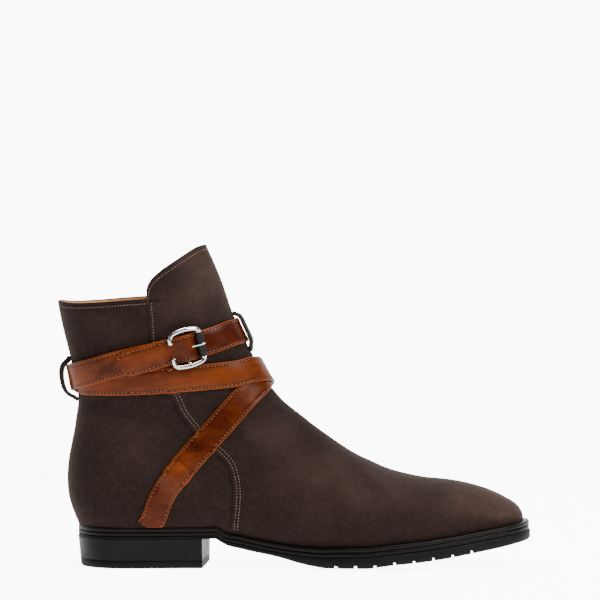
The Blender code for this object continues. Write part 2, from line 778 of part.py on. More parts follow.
# Straps, tabs and loops: bands with a thickness, drawn as a line in the plane of run and height


def band(name, place, line, half_widths, group, finish, across=5):
    """A band along a line of (run, height, thickness), laid on the upper by place(run, across, out)."""
    line = np.array(line, float)
    ahead = unit(np.gradient(line[:, :2], axis=0))
    normal = np.stack([-ahead[:, 1], ahead[:, 0]], axis=-1) * line[:, 2:] / 2
    shares = np.linspace(-1, 1, across)
    halves = np.broadcast_to(half_widths, len(line))[:, None]
    faces = []
    for sign, order in ((-1, shares), (1, shares[::-1])):
        at = line[:, :2] + sign * normal
        faces.append(place(at[:, :1], order * halves, at[:, 1:]))
    return loft(name, np.concatenate(faces, axis=1), group, finish)


def layer_height(layer):
    """Height of the middle of a strap that lies in this layer, counted from 1 next to the upper."""
    return SEAT + (layer - 1) * LAYER + STRAP_THICKNESS / 2


def leg_heights(runs, changes):
    """Heights of a strap's middle at these runs. changes: (run, layer) pairs, level beyond each end."""
    places = np.array(changes, float)
    return layer_height(np.interp(runs, places[:, 0], places[:, 1]))


def strap_line(route, start, end, changes, spacing=10 * MM):
    """A strap's stations from start to end of its route, with a station at each change of layer."""
    runs = route.stations(start, end, [run for run, _ in changes], spacing)
    return [(run, height, STRAP_THICKNESS) for run, height in zip(runs, leg_heights(runs, changes))]


def tail(from_run, line, thickness=STRAP_THICKNESS):
    """The points of a line given by hand as (run, height) pairs from a run on."""
    return [(from_run + run, height, thickness) for run, height in line]


BAR_HEIGHT = 3.7 * MM
EYE = BAR_DIAMETER / 2 + RUNNING_GAP + CHAPE_THICKNESS / 2
PIN_ALONG = (FRAME_ALONG - WIRE) / 2
ROLLER_HEIGHT = layer_height(1) + STRAP_THICKNESS / 2 + GAP + ROLLER_DIAMETER / 2
STUB_HEIGHT = layer_height(2.75) + STRAP_THICKNESS / 2 + GAP + WIRE / 2


def build_strap_buckle(route, buckle, group, cutters, finish):
    changes = (
        (run_near(route, 1, LAYER_UP[0] * SOLE_LENGTH), 1),
        (run_near(route, 1, LAYER_UP[1] * SOLE_LENGTH), 2),
        (run_near(route, 2, STRAPS_PART * SOLE_LENGTH), 2),
        (buckle - 7.6 * MM, 1),
    )
    line = strap_line(route, TAB_LENGTH - TAB_OVERLAP + 1 * MM, buckle - 5 * MM, changes)
    line += tail(buckle, ((-3.2 * MM, 1.25 * MM),), 1.4 * MM)
    for degrees in range(-90, 151, 40):
        angle = math.radians(degrees)
        line.append((buckle + EYE * math.cos(angle), BAR_HEIGHT + EYE * math.sin(angle), CHAPE_THICKNESS))
    line += tail(buckle, ((-3.6 * MM, 3.7 * MM),), 0.8 * MM)
    strap = band("strap_buckle", route.place, line, STRAP_WIDTH / 2, group, finish)
    slot_half = PRONG_DIAMETER / 2 + GAP
    slot = band(
        "chape_slot",
        route.place,
        [(buckle + run, 3.6 * MM, 9 * MM) for run in (-4.4 * MM, 0, 4.4 * MM)],
        slot_half,
        cutters,
        finish,
        across=2,
    )
    cut_with(strap, slot)


def cut_with(body, cutter):
    cutter.hide_render = True
    cutter.display_type = "WIRE"
    cut = body.modifiers.new(cutter.name, "BOOLEAN")
    cut.operation = "DIFFERENCE"
    cut.solver = "EXACT"
    cut.object = cutter


# The tip strap over the buckle, from its front to its back: distance in front of the bar, height of its middle
HUMP = (
    (7.6, 1.35),
    (6.2, 2.0),
    (5.2, 3.6),
    (4.5, 5.3),
    (3.6, 6.8),
    (2.0, 7.8),
    (0.0, 8.0),
    (-2.0, 7.5),
    (-3.8, 6.1),
    (-5.4, 4.7),
    (-7.2, 3.8),
)


def build_strap_tip(route, buckle, group, cutters, finish):
    changes = (
        (run_near(route, 0, CROSS_UP[0] * SOLE_LENGTH), 1),
        (run_near(route, 0, CROSS_UP[1] * SOLE_LENGTH), 2),
        (run_near(route, 1, CROSS_DOWN[0] * SOLE_LENGTH), 2),
        (run_near(route, 1, CROSS_DOWN[1] * SOLE_LENGTH), 1),
    )
    line = strap_line(route, TAB_LENGTH - TAB_OVERLAP + 1 * MM, buckle - 9.5 * MM, changes)
    line += tail(buckle, [(-run * MM, height * MM) for run, height in HUMP])
    corner = run_near(route, 3, TIP_CORNER * SOLE_LENGTH)
    changes = ((buckle + 7.2 * MM, 2.1), (run_near(route, 3, (STRAPS_PART + 0.006) * SOLE_LENGTH), TIP_LAYER))
    line += strap_line(route, buckle + 9.2 * MM, corner, changes, spacing=5 * MM)
    line.append((corner + TIP_LENGTH, layer_height(TIP_LAYER), STRAP_THICKNESS))
    halves = [STRAP_WIDTH / 2] * (len(line) - 1) + [0.5 * MM]
    strap = band("strap_tip", route.place, line, halves, group, finish)
    hole = [
        (buckle - run, height, PRONG_DIAMETER + 2 * GAP)
        for run, height in ((0.4 * MM, prong_height(0.4 * MM)), (7.2 * MM, prong_height(7.2 * MM)))
    ]
    cut_with(strap, band("prong_hole", route.place, hole, PRONG_DIAMETER / 2 + GAP, cutters, finish, across=2))


def prong_height(ahead):
    """Height of the prong's middle in front of the bar: straight from the top of its curl to the roller's top."""
    low = BAR_HEIGHT + CURL
    high = ROLLER_HEIGHT + ROLLER_DIAMETER / 2 + 2 * RUNNING_GAP + PRONG_DIAMETER / 2
    return low + (high - low) * ahead / PIN_ALONG


CURL = BAR_DIAMETER / 2 + RUNNING_GAP + PRONG_DIAMETER / 2


def wire(name, points, diameter, group, finish, shares=None, resolution=2):
    """A round wire through points, as a mesh. shares thin it from point to point."""
    shift = np.array([HEEL_LENGTH / 2, 0, 0])
    drawn = bpy.data.curves.new(name, "CURVE")
    drawn.dimensions = "3D"
    drawn.bevel_depth = diameter / 2
    drawn.bevel_resolution = resolution
    drawn.use_fill_caps = True
    spline = drawn.splines.new("POLY")
    spline.points.add(len(points) - 1)
    for n, point in enumerate(points - shift):
        spline.points[n].co = (*point, 1)
        spline.points[n].radius = 1.0 if shares is None else shares[n]
    guide = bpy.data.objects.new(name + "_line", drawn)
    group.objects.link(guide)
    bpy.context.view_layer.update()
    shape = guide.evaluated_get(bpy.context.evaluated_depsgraph_get())
    mesh = bpy.data.meshes.new_from_object(shape)
    bpy.data.objects.remove(guide)
    cleaner = bmesh.new()
    cleaner.from_mesh(mesh)
    bmesh.ops.remove_doubles(cleaner, verts=cleaner.verts, dist=1e-5)
    bmesh.ops.recalc_face_normals(cleaner, faces=cleaner.faces)
    cleaner.to_mesh(mesh)
    cleaner.free()
    mesh.name = name
    mesh.materials.clear()
    mesh.materials.append(finish)
    mesh.shade_smooth()
    made = bpy.data.objects.new(name, mesh)
    group.objects.link(made)
    return made


def frame_line():
    """The frame's wire from its upper stub round the front to its lower stub, as (ahead, across, share of WIRE)."""
    along, across = PIN_ALONG, (FRAME_ACROSS - WIRE) / 2
    thin = PIN_DIAMETER / WIRE
    line = [(-along, STUB_GAP / 2, 1.0)]
    corners = ((-1, 1, 180), (1, 1, 90), (1, -1, 0), (-1, -1, -90))
    for side, end, first in corners:
        for degrees in (0, 30, 60, 90):
            angle = math.radians(first - degrees)
            ahead = side * (along - FRAME_CORNER) + FRAME_CORNER * math.cos(angle)
            sideways = end * (across - FRAME_CORNER) + FRAME_CORNER * math.sin(angle)
            line.append((ahead, sideways, 1.0))
        if (side, end) == (1, 1):
            line += [(along, across - FRAME_CORNER - 0.4 * MM, thin), (along, 0, thin)]
            line.append((along, -(across - FRAME_CORNER - 0.4 * MM), thin))
    line.append((-along, -STUB_GAP / 2, 1.0))
    return line


def frame_height(ahead):
    """The frame leans from its stubs, over the tip strap, down to its front side under the roller."""
    return STUB_HEIGHT + (ROLLER_HEIGHT - STUB_HEIGHT) * (ahead + PIN_ALONG) / (2 * PIN_ALONG)


def build_buckle(route, buckle, group, cutters, metal, black):
    def place(ahead, across, out):
        return route.place(buckle + np.asarray(ahead), across, out)

    line = np.array(frame_line())
    points = place(line[:, 0], line[:, 1], frame_height(line[:, 0]))
    frame = wire("buckle_frame", points, WIRE, group, metal, shares=line[:, 2])
    across = np.array([-1, -0.81, 0, 0.81, 1]) * (FRAME_ACROSS - WIRE) / 2
    ends = np.array([0.8, 0, 0, 0, 0.8]) * MM
    bar = wire("bar", place(0 * across, across, BAR_HEIGHT + ends), BAR_DIAMETER, cutters, metal)
    bar.hide_render = True
    bar.display_type = "WIRE"
    join = frame.modifiers.new("bar", "BOOLEAN")
    join.operation = "UNION"
    join.solver = "EXACT"
    join.object = bar
    half = (FRAME_ACROSS - WIRE) / 2 - FRAME_CORNER - 0.6 * MM
    build_roller(place, half, group, black)
    curl = []
    for degrees in (215, 180, 145, 110):
        angle = math.radians(degrees)
        curl.append((CURL * math.cos(angle), BAR_HEIGHT + CURL * math.sin(angle)))
    curl += [(ahead, prong_height(ahead)) for ahead in (0.6 * MM, PIN_ALONG, PIN_ALONG + 1.6 * MM)]
    curl = np.array(curl)
    wire("buckle_prong", place(curl[:, 0], 0 * curl[:, 0], curl[:, 1]), PRONG_DIAMETER, group, metal)


def build_roller(place, half, group, finish):
    """The sleeve that turns on the frame's front side: a tube with the pin's running gap inside."""
    outer, inner = ROLLER_DIAMETER / 2, PIN_DIAMETER / 2 + RUNNING_GAP
    around = 16
    low, high = place(PIN_ALONG, -half, ROLLER_HEIGHT), place(PIN_ALONG, half, ROLLER_HEIGHT)
    axis = unit(high - low)
    first = unit(np.cross(axis, np.array([0, 0, 1.0])))
    second = np.cross(axis, first)
    angles = np.arange(around) * 2 * math.pi / around
    circle = np.outer(np.cos(angles), first) + np.outer(np.sin(angles), second)
    rings = [low + circle * outer, high + circle * outer, high + circle * inner, low + circle * inner]
    loft("buckle_roller", rings, group, finish, ends="joined")


def build_tab(name, route, group, finish):
    low, top = 0.0, TAB_LENGTH
    rise = TAB_LENGTH - TAB_OVERLAP
    runs = (low, 9 * MM, 18 * MM, rise - 5 * MM, rise - 1 * MM, rise + 5 * MM, top)
    layers = (1, 1, 1, 1, 2, 2, 2)
    line = [(run, layer_height(layer), STRAP_THICKNESS) for run, layer in zip(runs, layers)]
    band(name, route.place, line, TAB_WIDTH / 2, group, finish)


# Loops, as (across, height of the middle) in millimetres from the straps' middle line
BACK_LOOP = (
    (12.9, 1.7),
    (11.7, 3.0),
    (10.7, 5.0),
    (9.0, 7.2),
    (5.0, 8.8),
    (0.0, 9.3),
    (-5.0, 9.0),
    (-9.0, 7.8),
    (-11.8, 5.6),
    (-13.4, 3.2),
    (-14.8, 1.7),
)
FRONT_LOOP = (
    (12.1, 1.65),
    (11.0, 2.4),
    (10.2, 3.6),
    (8.6, 4.4),
    (4.0, 4.6),
    (0.0, 4.6),
    (-4.0, 4.6),
    (-9.0, 4.4),
    (-11.0, 3.2),
    (-12.4, 1.9),
    (-14.2, 1.65),
)


def build_loop(name, route, run, shape, width, group, finish):
    def place(across, along, out):
        return route.place(run + along, across, out)

    line = [(across * MM, height * MM, LOOP_THICKNESS) for across, height in shape]
    band(name, place, line, width / 2, group, finish, across=3)


def main():
    for old in list(bpy.data.objects):
        bpy.data.objects.remove(old)
    boot, cutters = collection("jodhpur_boot"), collection("cutters")
    suede = material("suede", (0.055, 0.035, 0.028), 0.95)
    lining = material("lining", (0.55, 0.3, 0.14), 0.6)
    strap_leather = material("strap_leather", (0.32, 0.1, 0.03), 0.45)
    loop_suede = material("loop_suede", (0.08, 0.06, 0.05), 0.9)
    sole_leather = material("sole_leather", (0.02, 0.018, 0.016), 0.5)
    rubber = material("rubber", (0.02, 0.02, 0.02), 0.7)
    stack = material("heel_stack", (0.016, 0.015, 0.015), 0.45)
    metal = material("buckle_metal", (0.7, 0.7, 0.7), 0.2, 1.0)
    black = material("buckle_black", (0.02, 0.02, 0.02), 0.3)

    build_upper(boot, suede)
    build_insole(boot, lining)
    build_welt(boot, sole_leather)
    build_midsole(boot, sole_leather)
    build_outsole(boot, cutters, rubber)
    build_heel(boot, stack, rubber)

    buckle_line, buckle_at = buckle_route()
    tip_line, tip_at = tip_route()
    build_tab("tab_lateral", buckle_line, boot, strap_leather)
    build_tab("tab_medial", tip_line, boot, strap_leather)
    build_strap_buckle(buckle_line, buckle_at, boot, cutters, strap_leather)
    build_strap_tip(tip_line, tip_at, boot, cutters, strap_leather)
    build_buckle(buckle_line, buckle_at, boot, cutters, metal, black)
    back_run = float(np.interp(2 * math.pi, buckle_line.turn, buckle_line.run))
    front_run = float(np.interp(3 * math.pi, tip_line.turn, tip_line.run))
    build_loop("loop_back", buckle_line, back_run, BACK_LOOP, BACK_LOOP_WIDTH, boot, loop_suede)
    build_loop("loop_front", tip_line, front_run, FRONT_LOOP, FRONT_LOOP_WIDTH, boot, loop_suede)


main()
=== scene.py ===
"""Looks of the jodhpur boot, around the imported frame: suede upper, tan straps, polished buckle, stacked sole.

Inside this script, distances along the foot run from the back of the sole's edge, as in the model's own
source, and HEEL_LENGTH / 2 is taken off when a mesh is made.
"""

import itertools
import json
import math

import bmesh
import bpy
import numpy as np
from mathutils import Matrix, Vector

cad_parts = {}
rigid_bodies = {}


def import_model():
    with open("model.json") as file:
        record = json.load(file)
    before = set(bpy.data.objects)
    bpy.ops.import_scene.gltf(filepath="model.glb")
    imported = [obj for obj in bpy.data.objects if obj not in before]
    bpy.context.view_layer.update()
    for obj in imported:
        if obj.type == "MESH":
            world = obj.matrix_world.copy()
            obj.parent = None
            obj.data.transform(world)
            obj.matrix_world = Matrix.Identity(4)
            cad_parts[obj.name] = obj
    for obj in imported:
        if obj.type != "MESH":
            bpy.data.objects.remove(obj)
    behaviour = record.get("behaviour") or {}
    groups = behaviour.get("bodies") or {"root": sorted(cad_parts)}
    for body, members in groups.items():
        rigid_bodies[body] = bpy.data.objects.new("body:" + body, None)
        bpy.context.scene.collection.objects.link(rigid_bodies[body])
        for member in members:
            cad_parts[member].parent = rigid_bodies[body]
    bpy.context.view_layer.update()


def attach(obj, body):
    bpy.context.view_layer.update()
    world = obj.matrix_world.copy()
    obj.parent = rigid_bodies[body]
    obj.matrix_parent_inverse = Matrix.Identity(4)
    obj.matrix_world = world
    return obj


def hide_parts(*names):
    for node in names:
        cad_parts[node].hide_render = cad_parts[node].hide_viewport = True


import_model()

MM = 0.001

# Overall sizes
SOLE_LENGTH = 304 * MM
BALL_WIDTH = 96 * MM  # of the foot's outline at the feather line, where upper and welt meet
BOOT_HEIGHT = 215 * MM  # floor to the tip of the flap

# Upper
WALL = 2.2 * MM
GAP = 0.3 * MM  # between pieces that lie on each other
SEAT = 0.45 * MM  # between the upper and what is wrapped round it
SIDE_BULGE = 8 * MM  # most that a side stands out past the feather line
BULGE_RISE = 14 * MM  # height over which it does so
HEEL_ROUND = 33 * MM  # depth of the round back of the heel, seen from above
HEEL_ROUND_SHAPE = 2.1  # power of the round: 2 is an ellipse, more is squarer
TOE_ROUND = 25 * MM
TOE_ROUND_SHAPE = 2.6
TOE_SWING = 6 * MM  # the toe's centre lies this far towards the inner side
ANKLE_WIDTH = 64 * MM
# heights between which the foot's widths give way to the shaft's
SHAFT_FROM, SHAFT_TO = 45 * MM, 100 * MM
FRONT_REACH = 74 * MM  # how far back from the ridge the instep's rounding reaches

# Sole
WELT_LEDGE = 4.0 * MM
OUTSOLE_PROUD = 0.8 * MM
WELT_THICKNESS = 3.1 * MM
WELT_BAND = 9 * MM  # width of the welt ring under the upper
MIDSOLE_THICKNESS = 3.3 * MM
OUTSOLE_THICKNESS = 7.2 * MM
EDGE_RISE = 1.6 * MM  # the outsole's edge lies this much above its middle
INSOLE_THICKNESS = 3.0 * MM
TOE_CLEARANCE = 5 * MM  # the insole stops this much further back, where the toe wall leans over it
GROOVE_PITCH = 13 * MM
GROOVE_WIDTH = 2.2 * MM
GROOVE_DEPTH = 1.7 * MM
GROOVES = 8
FIRST_GROOVE = 0.568  # share of the sole's length

# Heel
HEEL_HEIGHT = 19.8 * MM
HEEL_LENGTH = 83.5 * MM
HEEL_TAPER = 1.8 * MM
BREAST_SLANT = 4 * MM  # the breast's inner end lies this much further forward
TOP_LIFT = 5 * MM
LIFT_ROUND = 1.5 * MM

# Straps
STRAP_WIDTH = 17.4 * MM
STRAP_THICKNESS = 1.8 * MM
LAYER = STRAP_THICKNESS + GAP
TIP_LENGTH = 10.6 * MM
TAB_WIDTH = 16.4 * MM
TAB_LENGTH = 43 * MM
TAB_OVERLAP = 13 * MM  # of the tab over the end of its strap
LOOP_THICKNESS = 2.2 * MM
BACK_LOOP_WIDTH = 10 * MM
FRONT_LOOP_WIDTH = 9 * MM

# Buckle
WIRE = 3.4 * MM
FRAME_ALONG = 23 * MM
FRAME_ACROSS = 26.4 * MM
FRAME_CORNER = 3.6 * MM
STUB_GAP = 8.4 * MM  # the opening in the frame's back side
BAR_DIAMETER = 2.4 * MM
PIN_DIAMETER = 2.2 * MM  # the frame's front side, inside the roller
ROLLER_DIAMETER = 5.2 * MM
CHAPE_THICKNESS = 1.1 * MM
PRONG_DIAMETER = 1.6 * MM
RUNNING_GAP = 0.2 * MM

SPREAD = 0.1  # draws the points of an outline from the toe and heel towards the waist


def table(columns, *rows):
    """Rows of numbers under named columns."""
    return dict(zip(columns.split(), np.array(rows, float).T))


# Plan of the feather line and what stands out from it. along: share of SOLE_LENGTH. lateral, medial: half
# widths, shares of BALL_WIDTH / 2. out_lateral, out_medial: shares of SIDE_BULGE. ledge: share of WELT_LEDGE.
PLAN = table(
    "along lateral medial out_lateral out_medial ledge",
    (0.000, 0.688, 0.688, 0.19, 0.19, 0.08),
    (0.120, 0.688, 0.688, 0.25, 0.25, 0.10),
    (0.270, 0.631, 0.594, 0.38, 0.50, 0.22),
    (0.395, 0.646, 0.510, 0.56, 1.00, 0.55),
    (0.515, 0.844, 0.667, 0.50, 0.88, 0.85),
    (0.620, 1.006, 0.865, 0.40, 0.62, 0.95),
    (0.710, 1.000, 0.944, 0.38, 0.44, 1.00),
    (0.810, 0.850, 0.854, 0.31, 0.35, 1.00),
    (0.900, 0.604, 0.677, 0.25, 0.25, 1.00),
    (1.000, 0.420, 0.500, 0.12, 0.12, 1.00),
)

# The sole from the side. under: height of its underside, share of HEEL_HEIGHT. outsole, midsole: thickness
# at the edge, shares of OUTSOLE_THICKNESS and MIDSOLE_THICKNESS.
SOLE = table(
    "along under outsole midsole",
    (0.000, 1.000, 0.26, 0.79),
    (0.270, 1.000, 0.26, 0.79),
    (0.303, 1.000, 0.27, 0.79),
    (0.324, 0.770, 0.30, 0.79),
    (0.360, 0.610, 0.33, 0.80),
    (0.447, 0.325, 0.40, 0.82),
    (0.495, 0.130, 0.69, 0.88),
    (0.545, 0.000, 0.92, 0.95),
    (0.635, 0.000, 1.03, 1.00),
    (0.690, 0.106, 1.00, 1.00),
    (0.757, 0.197, 1.00, 1.00),
    (0.836, 0.364, 0.97, 1.00),
    (0.934, 0.616, 0.90, 1.00),
    (1.000, 0.800, 0.86, 1.00),
)

# Front silhouette from just above the toe's feather line, over the vamp and instep, up to the flap's tip.
# along: share of SOLE_LENGTH. height: share of BOOT_HEIGHT.
FRONT = table(
    "along height",
    (0.9838, 0.1535),
    (0.9785, 0.1726),
    (0.9655, 0.1916),
    (0.9428, 0.2107),
    (0.9112, 0.2316),
    (0.8750, 0.2484),
    (0.8168, 0.2647),
    (0.7625, 0.2726),
    (0.7089, 0.2902),
    (0.6546, 0.3186),
    (0.6007, 0.3572),
    (0.5467, 0.4093),
    (0.4928, 0.4674),
    (0.4497, 0.5172),
    (0.4184, 0.5721),
    (0.3898, 0.6437),
    (0.3447, 0.7730),
    (0.3128, 0.9014),
    (0.2822, 1.0000),
)

# Back silhouette from just above the heel's feather line to the collar, in the same shares.
BACK = table(
    "along height",
    (-0.0115, 0.1674),
    (-0.0217, 0.2140),
    (-0.0253, 0.2698),
    (-0.0230, 0.3256),
    (-0.0161, 0.3814),
    (-0.0062, 0.4465),
    (-0.0010, 0.5163),
    (-0.0079, 0.5814),
    (-0.0168, 0.6405),
    (-0.0270, 0.6977),
    (-0.0372, 0.7567),
    (-0.0462, 0.8235),
)

# The collar's edge and the flap's, from the back to the flap's tip. part: how far round, 0 to 1.
COLLAR = table(
    "part along height",
    (0.00, -0.0462, 0.8235),
    (0.12, -0.0130, 0.8186),
    (0.25, 0.0395, 0.8214),
    (0.38, 0.0987, 0.8280),
    (0.50, 0.1540, 0.8335),
)
FLAP = table(
    "part along height",
    (0.50, 0.1540, 0.8335),
    (0.56, 0.1556, 0.8674),
    (0.62, 0.1628, 0.8898),
    (0.69, 0.1793, 0.9135),
    (0.77, 0.2039, 0.9377),
    (0.86, 0.2336, 0.9656),
    (0.94, 0.2632, 0.9912),
    (1.00, 0.2822, 1.0000),
)

# Half widths of the shaft, shares of ANKLE_WIDTH / 2, the depth of the round back and how far back from the
# front the rounding reaches, shares of HEEL_ROUND and FRONT_REACH. height: share of BOOT_HEIGHT.
SHAFT = table(
    "height width back_round front_reach",
    (0.13, 1.03, 1.00, 0.62),
    (0.28, 1.03, 1.05, 0.62),
    (0.40, 0.95, 1.10, 0.75),
    (0.50, 0.93, 1.15, 0.92),
    (0.60, 0.95, 1.20, 1.00),
    (0.72, 0.99, 1.25, 0.88),
    (0.83, 1.03, 1.25, 0.82),
    (1.00, 0.97, 1.25, 0.78),
)

# How square the cross-section of the foot is over the ridge, as the power of its round.
RIDGE_SHAPE = table(
    "along lateral medial",
    (0.30, 2.0, 2.0),
    (0.50, 2.0, 2.1),
    (0.65, 2.1, 2.4),
    (0.80, 2.2, 2.5),
    (1.00, 2.4, 2.5),
)

FEATHER_TOE = SOLE_LENGTH - WELT_LEDGE - OUTSOLE_PROUD
FEATHER_BACK = 0.0


def curve(rows, column, at):
    """Smooth curve through one column of a table, read at places given in its first column."""
    knots = rows[next(iter(rows))]
    values = rows[column]
    slopes = np.gradient(values, knots)
    at = np.clip(np.asarray(at, float), knots[0], knots[-1])
    i = np.clip(np.searchsorted(knots, at) - 1, 0, len(knots) - 2)
    step = knots[i + 1] - knots[i]
    t = (at - knots[i]) / step
    start = (1 + 2 * t) * (1 - t) ** 2 * values[i] + t * (1 - t) ** 2 * step * slopes[i]
    end = t * t * (3 - 2 * t) * values[i + 1] + t * t * (t - 1) * step * slopes[i + 1]
    return start + end


def smooth(value, low, high):
    """0 below low, 1 above high, and an even rise between."""
    t = np.clip((np.asarray(value, float) - low) / (high - low), 0, 1)
    return t * t * (3 - 2 * t)


def rounded(depth, power):
    """Height of a round edge at a depth from 0, its foot, to 1, where it is full."""
    return (1 - (1 - np.clip(depth, 0, 1)) ** power) ** (1 / power)


def lengths(points):
    """Distance of each point from the first, along the line through them."""
    return np.concatenate([[0], np.cumsum(np.linalg.norm(np.diff(points, axis=0), axis=1))])


def line_through(points, count):
    """Points evenly spaced on a smooth line through the points given."""
    points = np.array(points, float)
    length = lengths(points)
    rows = {"length": length, "x": points[:, 0], "z": points[:, 1]}
    fine = np.linspace(0, length[-1], 4 * count)
    dense = np.stack([curve(rows, "x", fine), curve(rows, "z", fine)], axis=1)
    run = lengths(dense)
    even = np.linspace(0, run[-1], count)
    return np.stack([np.interp(even, run, dense[:, k]) for k in (0, 1)], axis=1)


# Heights of the sole's layers


def edge_height(x, layer):
    """Height at the sole's edge: 0 under the outsole, 1 its top, 2 the midsole's top, 3 the welt's."""
    along = x / SOLE_LENGTH
    under = np.clip(curve(SOLE, "under", along), 0, 1) * HEEL_HEIGHT
    height = under + EDGE_RISE * smooth(along, 0.28, 0.36)
    if layer > 0:
        height = height + curve(SOLE, "outsole", along) * OUTSOLE_THICKNESS
    if layer > 1:
        height = height + curve(SOLE, "midsole", along) * MIDSOLE_THICKNESS
    if layer > 2:
        height = height + WELT_THICKNESS
    return height


def underside(x, out):
    """Height of the outsole's underside, out from 0 at its middle to 1 at its edge."""
    along = x / SOLE_LENGTH
    under = np.clip(curve(SOLE, "under", along), 0, 1) * HEEL_HEIGHT
    return under + EDGE_RISE * smooth(along, 0.28, 0.36) * smooth(out, 0.55, 1.35) * 2


# The last's shape, as a half width at each place of the side view


def spine(x):
    return TOE_SWING * smooth(x / SOLE_LENGTH, 0.42, 1.0)


def plan_half(x, side):
    """Half width of the feather line, round at the toe but not yet at the heel. side: lateral or medial."""
    half = curve(PLAN, side, x / SOLE_LENGTH) * BALL_WIDTH / 2
    return half * rounded((FEATHER_TOE - x) / TOE_ROUND, TOE_ROUND_SHAPE)


def silhouettes():
    toe = (FEATHER_TOE, float(edge_height(FEATHER_TOE, 3)) + GAP)
    heel = (FEATHER_BACK, float(edge_height(FEATHER_BACK, 3)) + GAP)
    front = [toe, *zip(FRONT["along"] * SOLE_LENGTH, FRONT["height"] * BOOT_HEIGHT)]
    back = [heel, *zip(BACK["along"] * SOLE_LENGTH, BACK["height"] * BOOT_HEIGHT)]
    return line_through(front, 150), line_through(back, 80)


FRONT_LINE, BACK_LINE = silhouettes()


def on_line(line, part):
    places = np.linspace(0, 1, len(line))
    return np.stack([np.interp(part, places, line[:, k]) for k in (0, 1)], axis=-1)


def front_distance(x, z):
    """Distance from places of the side view to the front silhouette, and its nearest point's height."""
    start, end = FRONT_LINE[:-1], FRONT_LINE[1:]
    run = end - start
    offset = np.stack([x, z], axis=-1)[..., None, :] - start
    t = np.clip((offset * run).sum(-1) / (run * run).sum(-1), 0, 1)
    distance = np.linalg.norm(offset - t[..., None] * run, axis=-1)
    nearest = distance.argmin(-1)
    height = start[nearest, 1] + np.take_along_axis(t, nearest[..., None], -1)[..., 0] * run[nearest, 1]
    return distance.min(-1), height


def half_width(x, z, side):
    """Half width of the upper at places of the side view."""
    along = x / SOLE_LENGTH
    feather = edge_height(x, 3) + GAP
    uphill = FRONT_LINE[::-1]
    ridge = np.interp(x, uphill[:, 0], uphill[:, 1])
    section = np.maximum(ridge - feather, 1e-6)
    above = np.maximum(z - feather, 0)
    rise = above / np.minimum(BULGE_RISE, 0.5 * section + 1e-6)
    toe_fade = rounded((FEATHER_TOE - x) / TOE_ROUND, TOE_ROUND_SHAPE)
    bulge = curve(PLAN, "out_" + side, along) * SIDE_BULGE * toe_fade
    foot = plan_half(x, side) + bulge * (1 - (1 - np.clip(rise, 0, 1)) ** 2)
    height = z / BOOT_HEIGHT
    shaft = curve(SHAFT, "width", height) * ANKLE_WIDTH / 2
    full = foot + (shaft - foot) * smooth(z, SHAFT_FROM, SHAFT_TO) * (1 - smooth(along, 0.5, 0.75))
    power = curve(RIDGE_SHAPE, side, along)
    distance, near_height = front_distance(x, z)
    reach = curve(SHAFT, "front_reach", near_height / BOOT_HEIGHT) * FRONT_REACH
    over_foot = rounded(1 - above / section, power)
    over_shaft = rounded(distance / reach, power)
    front = over_shaft + (over_foot - over_shaft) * smooth(along, 0.5, 0.68)
    heel_line = np.interp(z, BACK_LINE[:, 1], BACK_LINE[:, 0])
    back = rounded((x - heel_line) / (HEEL_ROUND * curve(SHAFT, "back_round", height)), HEEL_ROUND_SHAPE)
    return full * front * back


# The upper's surface: level 0 at the feather line to 1 at the collar, turn round the foot from the heel over
# the lateral side to the front at pi, and back over the medial side.


def collar_line(part):
    part = np.asarray(part, float)
    halves = []
    for column, size in (("along", SOLE_LENGTH), ("height", BOOT_HEIGHT)):
        halves.append(np.where(part <= 0.5, curve(COLLAR, column, part), curve(FLAP, column, part)) * size)
    return np.stack(halves, axis=-1)


def feather_line(part):
    x = FEATHER_BACK + (FEATHER_TOE - FEATHER_BACK) * np.asarray(part, float)
    return np.stack([x, edge_height(x, 3) + GAP], axis=-1)


def side_view(level, part):
    """Place in the side view, blended between the four edges of the upper."""
    level, part = np.broadcast_arrays(level, part)
    low, high = feather_line(part), collar_line(part)
    back, front = on_line(BACK_LINE, level), on_line(FRONT_LINE, level)
    up, forward = level[..., None], part[..., None]
    ends = []
    for edge, end in ((back, 0.0), (front, 1.0)):
        ends.append(edge - ((1 - up) * feather_line(end) + up * collar_line(end)))
    return (1 - up) * low + up * high + (1 - forward) * ends[0] + forward * ends[1]


def surface(level, turn):
    level, turn = np.broadcast_arrays(np.clip(level, 0, 1), turn)
    place = side_view(level, (1 - np.cos(turn)) / 2)
    x, z = place[..., 0], place[..., 1]
    lateral = np.sin(turn) >= 0
    half = np.where(lateral, -half_width(x, z, "lateral"), half_width(x, z, "medial"))
    return np.stack([x, spine(x) + half, z], axis=-1)


def slopes_of(level, turn, step=2e-3):
    low, high = np.clip(level - step, 0, 1), np.clip(level + step, 0, 1)
    up = (surface(high, turn) - surface(low, turn)) / (high - low)[..., None]
    round_it = (surface(level, turn + step) - surface(level, turn - step)) / (2 * step)
    return up, round_it


def unit(vectors):
    return vectors / np.linalg.norm(vectors, axis=-1, keepdims=True)


def outward(level, turn):
    up, round_it = slopes_of(level, turn)
    return unit(np.cross(round_it, up))


def find(along, height):
    """Level and turn of a place on the lateral side, given in the side view."""
    target = np.array([along, height])
    levels, parts = np.meshgrid(np.linspace(0, 1, 41), np.linspace(0, 1, 41))
    gaps = np.linalg.norm(side_view(levels, parts) - target, axis=-1)
    best = np.unravel_index(gaps.argmin(), gaps.shape)
    guess = np.array([levels[best], parts[best]])
    for _ in range(8):
        here = side_view(*guess)
        step = 1e-4
        up = (side_view(guess[0] + step, guess[1]) - here) / step
        ahead = (side_view(guess[0], guess[1] + step) - here) / step
        slope = np.stack([up, ahead], axis=1)
        guess = np.clip(guess + np.linalg.solve(slope, target - here), 0.0, 0.9998)
    return guess[0], math.acos(1 - 2 * guess[1])


